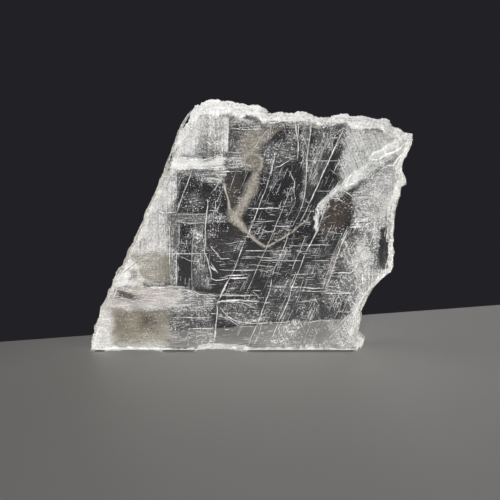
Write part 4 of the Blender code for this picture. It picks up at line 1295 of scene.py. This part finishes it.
def dash_tree():
    """A node tree that scatters slivers in a field, and its inputs' identifiers."""
    group = bpy.data.node_groups.new("scatter_dashes", "GeometryNodeTree")
    group.interface.new_socket("Field", in_out="INPUT", socket_type="NodeSocketGeometry")
    ids = {
        name: group_input(group, name, kind, value)
        for name, kind, value in (
            ("Density", "NodeSocketFloat", 1.0), ("Angle", "NodeSocketFloat", 0.0),
            ("Spread", "NodeSocketFloat", 0.1), ("Shortest", "NodeSocketFloat", 0.001),
            ("Longest", "NodeSocketFloat", 0.004), ("Width", "NodeSocketFloat", 0.0002),
            ("Front", "NodeSocketFloat", -0.007), ("Back", "NodeSocketFloat", 0.007),
            ("Seed", "NodeSocketInt", 1),
        )
    }
    group.interface.new_socket("Dashes", in_out="OUTPUT", socket_type="NodeSocketGeometry")
    given = add_node(group, "NodeGroupInput").outputs
    here = add_node(
        group, "GeometryNodeInputNamedAttribute", {"Name": "milk"}, data_type="FLOAT"
    ).outputs[0]
    clusters = add_node(
        group, "ShaderNodeTexNoise", {"Scale": 1.0 / DASH_CLUSTER, "Detail": 2.0})
    crowded = add_node(
        group, "ShaderNodeMath",
        {0: here, 1: add_node(
            group, "ShaderNodeMapRange",
            {"Value": clusters.outputs["Fac"], "From Min": DASH_CROWDED[0],
             "From Max": DASH_CROWDED[1]},
        ).outputs[0]},
        operation="MULTIPLY").outputs[0]
    scatter = add_node(
        group, "GeometryNodeDistributePointsOnFaces",
        {"Mesh": given["Field"], "Seed": given["Seed"],
         "Density": add_node(
             group, "ShaderNodeMath", {0: crowded, 1: given["Density"]},
             operation="MULTIPLY").outputs[0]})

    def vary(least, most, number):
        return add_node(
            group, "FunctionNodeRandomValue",
            {2: least, 3: most, "Seed": number}, data_type="FLOAT").outputs[1]

    placed = add_node(
        group, "GeometryNodeSetPosition",
        {"Geometry": scatter.outputs["Points"],
         "Offset": add_node(
             group, "ShaderNodeCombineXYZ",
             {"Y": vary(given["Front"], given["Back"], 1)}).outputs[0]})
    sliver = add_node(
        group, "GeometryNodeMeshCircle", {"Vertices": DASH_SIDES, "Radius": 0.5},
        fill_type="NGON")
    lowest = add_node(
        group, "ShaderNodeMath", {0: given["Angle"], 1: given["Spread"]},
        operation="SUBTRACT").outputs[0]
    highest = add_node(
        group, "ShaderNodeMath", {0: given["Angle"], 1: given["Spread"]},
        operation="ADD").outputs[0]
    turn = add_node(
        group, "ShaderNodeCombineXYZ",
        {"X": vary(*DASH_ROLL, 2),
         "Y": add_node(
             group, "ShaderNodeMath", {0: vary(lowest, highest, 3), 1: -1.0},
             operation="MULTIPLY").outputs[0]})
    size = add_node(
        group, "ShaderNodeCombineXYZ",
        {"X": vary(given["Shortest"], given["Longest"], 4),
         "Y": add_node(
             group, "ShaderNodeMath", {0: given["Width"], 1: vary(*DASH_THICKNESS, 5)},
             operation="MULTIPLY").outputs[0],
         "Z": 1.0})
    instances = add_node(
        group, "GeometryNodeInstanceOnPoints",
        {"Points": placed.outputs[0], "Instance": sliver.outputs["Mesh"],
         "Rotation": turn.outputs[0], "Scale": size.outputs[0]})
    # Each sliver gets a random painted glint, which its material turns into a base colour.
    shaded = add_node(
        group, "GeometryNodeStoreNamedAttribute",
        {"Geometry": instances.outputs[0], "Name": "painted_glint", "Value": vary(0.0, 1.0, 6)},
        data_type="FLOAT", domain="INSTANCE")
    real = add_node(
        group, "GeometryNodeRealizeInstances", {"Geometry": shaded.outputs[0]})
    finished = add_node(
        group, "GeometryNodeSetMaterial",
        {"Geometry": real.outputs[0], "Material": sliver_material})
    output = add_node(group, "NodeGroupOutput")
    group.links.new(finished.outputs[0], output.inputs[0])
    return group, ids


# A sliver of air in gypsum flashes like foil. That flash is a painted glint: each sliver's
# base colour is set at random, from dim grey to bright white.
sliver_material, tree, output = new_material("gypsum_air_sliver")
painted_glint = add_node(tree, "ShaderNodeAttribute", attribute_name="painted_glint").outputs["Fac"]
surface = add_node(
    tree, "ShaderNodeBsdfPrincipled",
    {"Base Color": add_node(
        tree, "ShaderNodeMix",
        {0: painted_glint, 6: linear("5f5e5b"), 7: linear("ffffff")},
        data_type="RGBA").outputs[2],
     "Roughness": 0.5, "IOR": FILM_IOR})
tree.links.new(surface.outputs[0], output.inputs["Surface"])


dashes, dash_ids = dash_tree()
for number, (name, density, angle, spread, lengths, width, depths, zones) in enumerate(
    DASH_FIELDS
):
    field = veil_sheet(
        name + "_field", 0.0, 0.0, zones, {}, sliver_material,
        (depths[0] * MM, 0.0, depths[1] * MM), 0.5 * lengths[1] * MM, DASH_CELL)
    piece = grown(name, field, dashes, dash_ids, {
        "Density": density * PER_SQUARE_CM, "Angle": math.radians(angle),
        "Spread": math.radians(spread), "Shortest": lengths[0] * MM,
        "Longest": lengths[1] * MM, "Width": width * MM, "Front": depths[0] * MM,
        "Back": depths[1] * MM, "Seed": DASH_SEED + number,
    }, sliver_material)
    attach(piece, "root")

# ---------------------------------------------------------------------------------------
# Clay: tan mud that seeped between the leaves while the crystal grew. It is sealed in,
# as smoky wisps that follow a healed fracture, thick where they meet.

CLAY_CELL = 0.6 * MM  # how finely a wisp is cut up along its length
CLAY_DEPTH = -3.2 * MM  # how deep the foremost wisp lies
WISP_STEP = 0.5 * MM  # how far behind the last one the next wisp lies
WISP_CELLS = 8  # across its width
WISP_SWELL = 0.75  # half its width, with its clear edges, beside the width given
SWIRL = 5 * MM  # the length over which it swirls
SWIRL_ASIDE, SWIRL_BACK = 0.8, 1.6  # how far it swirls, in mm
WISP_BULGE = 0.6  # how far its middle stands forward, in mm
# Each wisp: what it is, how dense, and its line as (x, z, width) in mm.
CLAY_WISPS = (
    ("stem", 0.56, (
        (3.5, 91.2, 2.2), (2.8, 87.2, 3.8), (1.2, 83.8, 5.0), (0, 80.2, 5.2),
        (-1.8, 76.8, 4.8), (-3.8, 73.2, 4.6), (-5.8, 70.2, 4.8), (-7.5, 67.2, 4.8),
        (-6, 64.8, 3.8), (-3.5, 62.2, 3.0), (-1, 59.8, 2.4), (1.5, 57.2, 2.0),
        (3.8, 55, 1.8), (6, 53.5, 1.7), (8.5, 53.2, 1.5), (12, 54.8, 1.2), (16, 57, 1.05),
        (20, 59.8, 1.0), (23.5, 62.2, 0.9), (26.5, 65, 0.8), (29.5, 68.2, 0.7))),
    ("core", 0.46, (
        (0.5, 82.2, 1.2), (-1.5, 77.2, 1.8), (-4, 72.8, 2.0), (-7, 68.8, 2.6),
        (-6, 65.2, 2.2), (-3, 61.8, 1.4), (0, 58.8, 1.0), (4, 55, 0.9), (7, 53.5, 0.8))),
    ("blob", 0.46, (
        (-10.8, 72.2, 1.8), (-9.5, 69.2, 3.6), (-7, 66.2, 3.8), (-3.5, 62.8, 2.0))),
    ("spike", 0.72, (
        (-12.8, 85.2, 1.5), (-12, 82.2, 1.3), (-11.2, 78.8, 0.9), (-10.8, 75.2, 0.9),
        (-10.2, 71.8, 1.3), (-9, 68.8, 2.2))),
    ("cloud", 0.30, (
        (12.5, 110.2, 2.0), (7, 108.2, 5.0), (1, 105.2, 8.5), (-1, 100.2, 8.5),
        (0.5, 95.2, 7.0), (3, 90.2, 3.5))),
    ("loop", 0.54, (
        (-2, 91.2, 1.2), (-2.8, 94.8, 1.6), (-1.5, 97.8, 1.7), (1.2, 99.2, 1.8),
        (4, 98, 1.9), (5.8, 95.2, 1.9), (5.2, 92.2, 2.1), (3.5, 89.2, 2.4))),
    ("curl", 0.34, (
        (16.5, 111.2, 0.9), (12.5, 109.8, 1.6), (9, 106.8, 2.2), (5, 103.2, 2.2),
        (2, 100.2, 2.4))),
)


def smooth_route(line, step):
    """Points of a smooth curve through the line's points, each with its width."""
    knots = [Vector((x * MM, z * MM, width * MM)) for x, z, width in line]
    knots = [2 * knots[0] - knots[1]] + knots + [2 * knots[-1] - knots[-2]]
    points = []
    for before, here, there, after in zip(knots, knots[1:], knots[2:], knots[3:]):
        count = max(int((there - here).to_2d().length / step), 1)
        for n in range(count):
            t = n / count
            points.append(0.5 * (
                2 * here + (there - before) * t
                + (2 * before - 5 * here + 4 * there - after) * t * t
                + (3 * here - before - 3 * there + after) * t ** 3))
    return points + [knots[-2]]


def wisp_strips(edit, layer, strength, line, depth):
    """Adds one wisp: a curved ribbon, densest along its middle and clear at its edges."""
    points = smooth_route(line, CLAY_CELL)
    rows = []
    for n, point in enumerate(points):
        ahead = points[min(n + 1, len(points) - 1)] - points[max(n - 1, 0)]
        side = Vector((-ahead.y, ahead.x)).normalized()
        row = []
        for k in range(WISP_CELLS + 1):
            share = 2 * k / WISP_CELLS - 1
            offset = side * share * point.z * WISP_SWELL
            place = Vector((point.x + offset.x, 0.0, point.y + offset.y))
            swirl = noise.noise_vector(place / SWIRL)
            place += Vector((swirl.x, 0.0, swirl.z)) * SWIRL_ASIDE * MM
            bulge = (1 - share * share) * WISP_BULGE * MM
            place.y = depth + swirl.y * SWIRL_BACK * MM - bulge
            vert = edit.verts.new(place)
            ends = min(1.0, n / 3, (len(points) - 1 - n) / 3)
            vert[layer] = strength * (1 - share * share) * ends
            row.append(vert)
        rows.append(row)
    for row, following in zip(rows, rows[1:]):
        for k in range(len(row) - 1):
            edit.faces.new((row[k], row[k + 1], following[k + 1], following[k]))


# Clay in gypsum: matt, tan and dusty at the edges. All its gloss is the crystal's.
clay, tree, output = new_material("clay_sealed_in_gypsum")
coordinates = object_coordinates(tree)
dust = stretched_noise(tree, coordinates, (1.2 * MM,) * 3, detail=6.0, seed=31.0)
density = add_node(tree, "ShaderNodeAttribute", attribute_name="clay").outputs["Fac"]
total = add_node(
    tree, "ShaderNodeMath", {0: density, 1: 1.1, 2: add_node(
        tree, "ShaderNodeMath", {0: dust, 1: 1.5}, operation="MULTIPLY").outputs[0]},
    operation="MULTIPLY_ADD")
surface = add_node(
    tree, "ShaderNodeBsdfPrincipled",
    {"Base Color": add_node(
        tree, "ShaderNodeMix",
        {0: density, 6: linear("938b80"), 7: linear("ded7ca")},
        data_type="RGBA").outputs[2],
     "Roughness": 0.8, "IOR": FILM_IOR,
     "Alpha": add_node(
         tree, "ShaderNodeMapRange",
         {"Value": total.outputs[0], "From Min": 0.66, "From Max": 1.95, "To Max": 0.92},
     ).outputs[0]},
)
tree.links.new(surface.outputs[0], output.inputs["Surface"])

edit = bmesh.new()
density_layer = edit.verts.layers.float.new("clay")
for number, (_, strength, line) in enumerate(CLAY_WISPS):
    wisp_strips(edit, density_layer, strength, line, CLAY_DEPTH + WISP_STEP * number)
mesh = bpy.data.meshes.new("clay_wisps")
edit.to_mesh(mesh)
edit.free()
mesh.materials.append(clay)
wisps = new_object("clay_wisps", mesh)
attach(wisps, "root")

# ---------------------------------------------------------------------------------------
# Studio: a plain pale board to stand on, a dark grey room, and soft lamps.

BOARD_REACH = (0.42, 0.34)  # half its width, and how far it comes forward
BOARD_BACK = 0.055  # how far it reaches behind the plate
BOARD_TURN = math.radians(19)
LIT_POINT = Vector((0.0, 0.0, 0.07))  # about the plate's middle

edit = bmesh.new()
board_corners = [
    edit.verts.new(Matrix.Rotation(BOARD_TURN, 3, "Z") @ Vector(corner))
    for corner in (
        (-BOARD_REACH[0], -BOARD_REACH[1], 0.0), (BOARD_REACH[0], -BOARD_REACH[1], 0.0),
        (BOARD_REACH[0], BOARD_BACK, 0.0), (-BOARD_REACH[0], BOARD_BACK, 0.0),
    )
]
edit.faces.new(board_corners)
mesh = bpy.data.meshes.new("board")
edit.to_mesh(mesh)
edit.free()
board = new_object("board", mesh)
board_paint, tree, output = new_material("board_matt_paint")
surface = add_node(
    tree, "ShaderNodeBsdfPrincipled",
    {"Base Color": linear("a8a6a2"), "Roughness": 0.6})
tree.links.new(surface.outputs[0], output.inputs["Surface"])
board.data.materials.append(board_paint)

room = bpy.data.worlds.new("dark_room")
room.use_nodes = True
room.node_tree.nodes["Background"].inputs["Color"].default_value = linear("222125")
room.node_tree.nodes["Background"].inputs["Strength"].default_value = 1.0
bpy.context.scene.world = room


def softbox(name, place, width, height, power):
    """An oblong lamp that faces the plate's middle."""
    data = bpy.data.lights.new(name, "AREA")
    data.shape = "RECTANGLE"
    data.size = width
    data.size_y = height
    data.energy = power
    lamp = new_object(name, data)
    lamp.location = place
    lamp.visible_camera = False
    towards = LIT_POINT - Vector(place)
    lamp.rotation_euler = towards.to_track_quat("-Z", "Y").to_euler()


# Each lamp's place, width and height in metres, and its power in watts. The two in front
# are low, so they light the crystal more than the board.
for lamp in (
    ("overhead", (-0.02, -0.02, 0.20), 0.18, 0.06, 0.065),
    ("front_left", (-0.62, -0.66, 0.15), 0.40, 0.20, 5.2),
    ("front_right", (0.66, -0.58, 0.15), 0.40, 0.20, 3.3),
    ("behind", (0.25, 0.75, 0.30), 0.40, 0.40, 0.8),
):
    softbox(*lamp)

# The camera looks at the plate's front from a little above.
CAMERA_TILT = math.radians(9)
CAMERA_DISTANCE = 0.62
VIEW_WIDTH = 0.250  # how much of the plate's plane the picture spans
AIM = Vector((0.0, 0.0, 0.0503))
camera_data = bpy.data.cameras.new("camera")
camera_data.sensor_fit = "HORIZONTAL"
camera_data.angle = 2 * math.atan(VIEW_WIDTH / 2 / CAMERA_DISTANCE)
camera = new_object("camera", camera_data)
camera.location = AIM + CAMERA_DISTANCE * Vector(
    (0.0, -math.cos(CAMERA_TILT), math.sin(CAMERA_TILT)))
camera.rotation_euler = (math.pi / 2 - CAMERA_TILT, 0.0, 0.0)
bpy.context.scene.camera = camera
bpy.context.scene.view_settings.view_transform = "Standard"
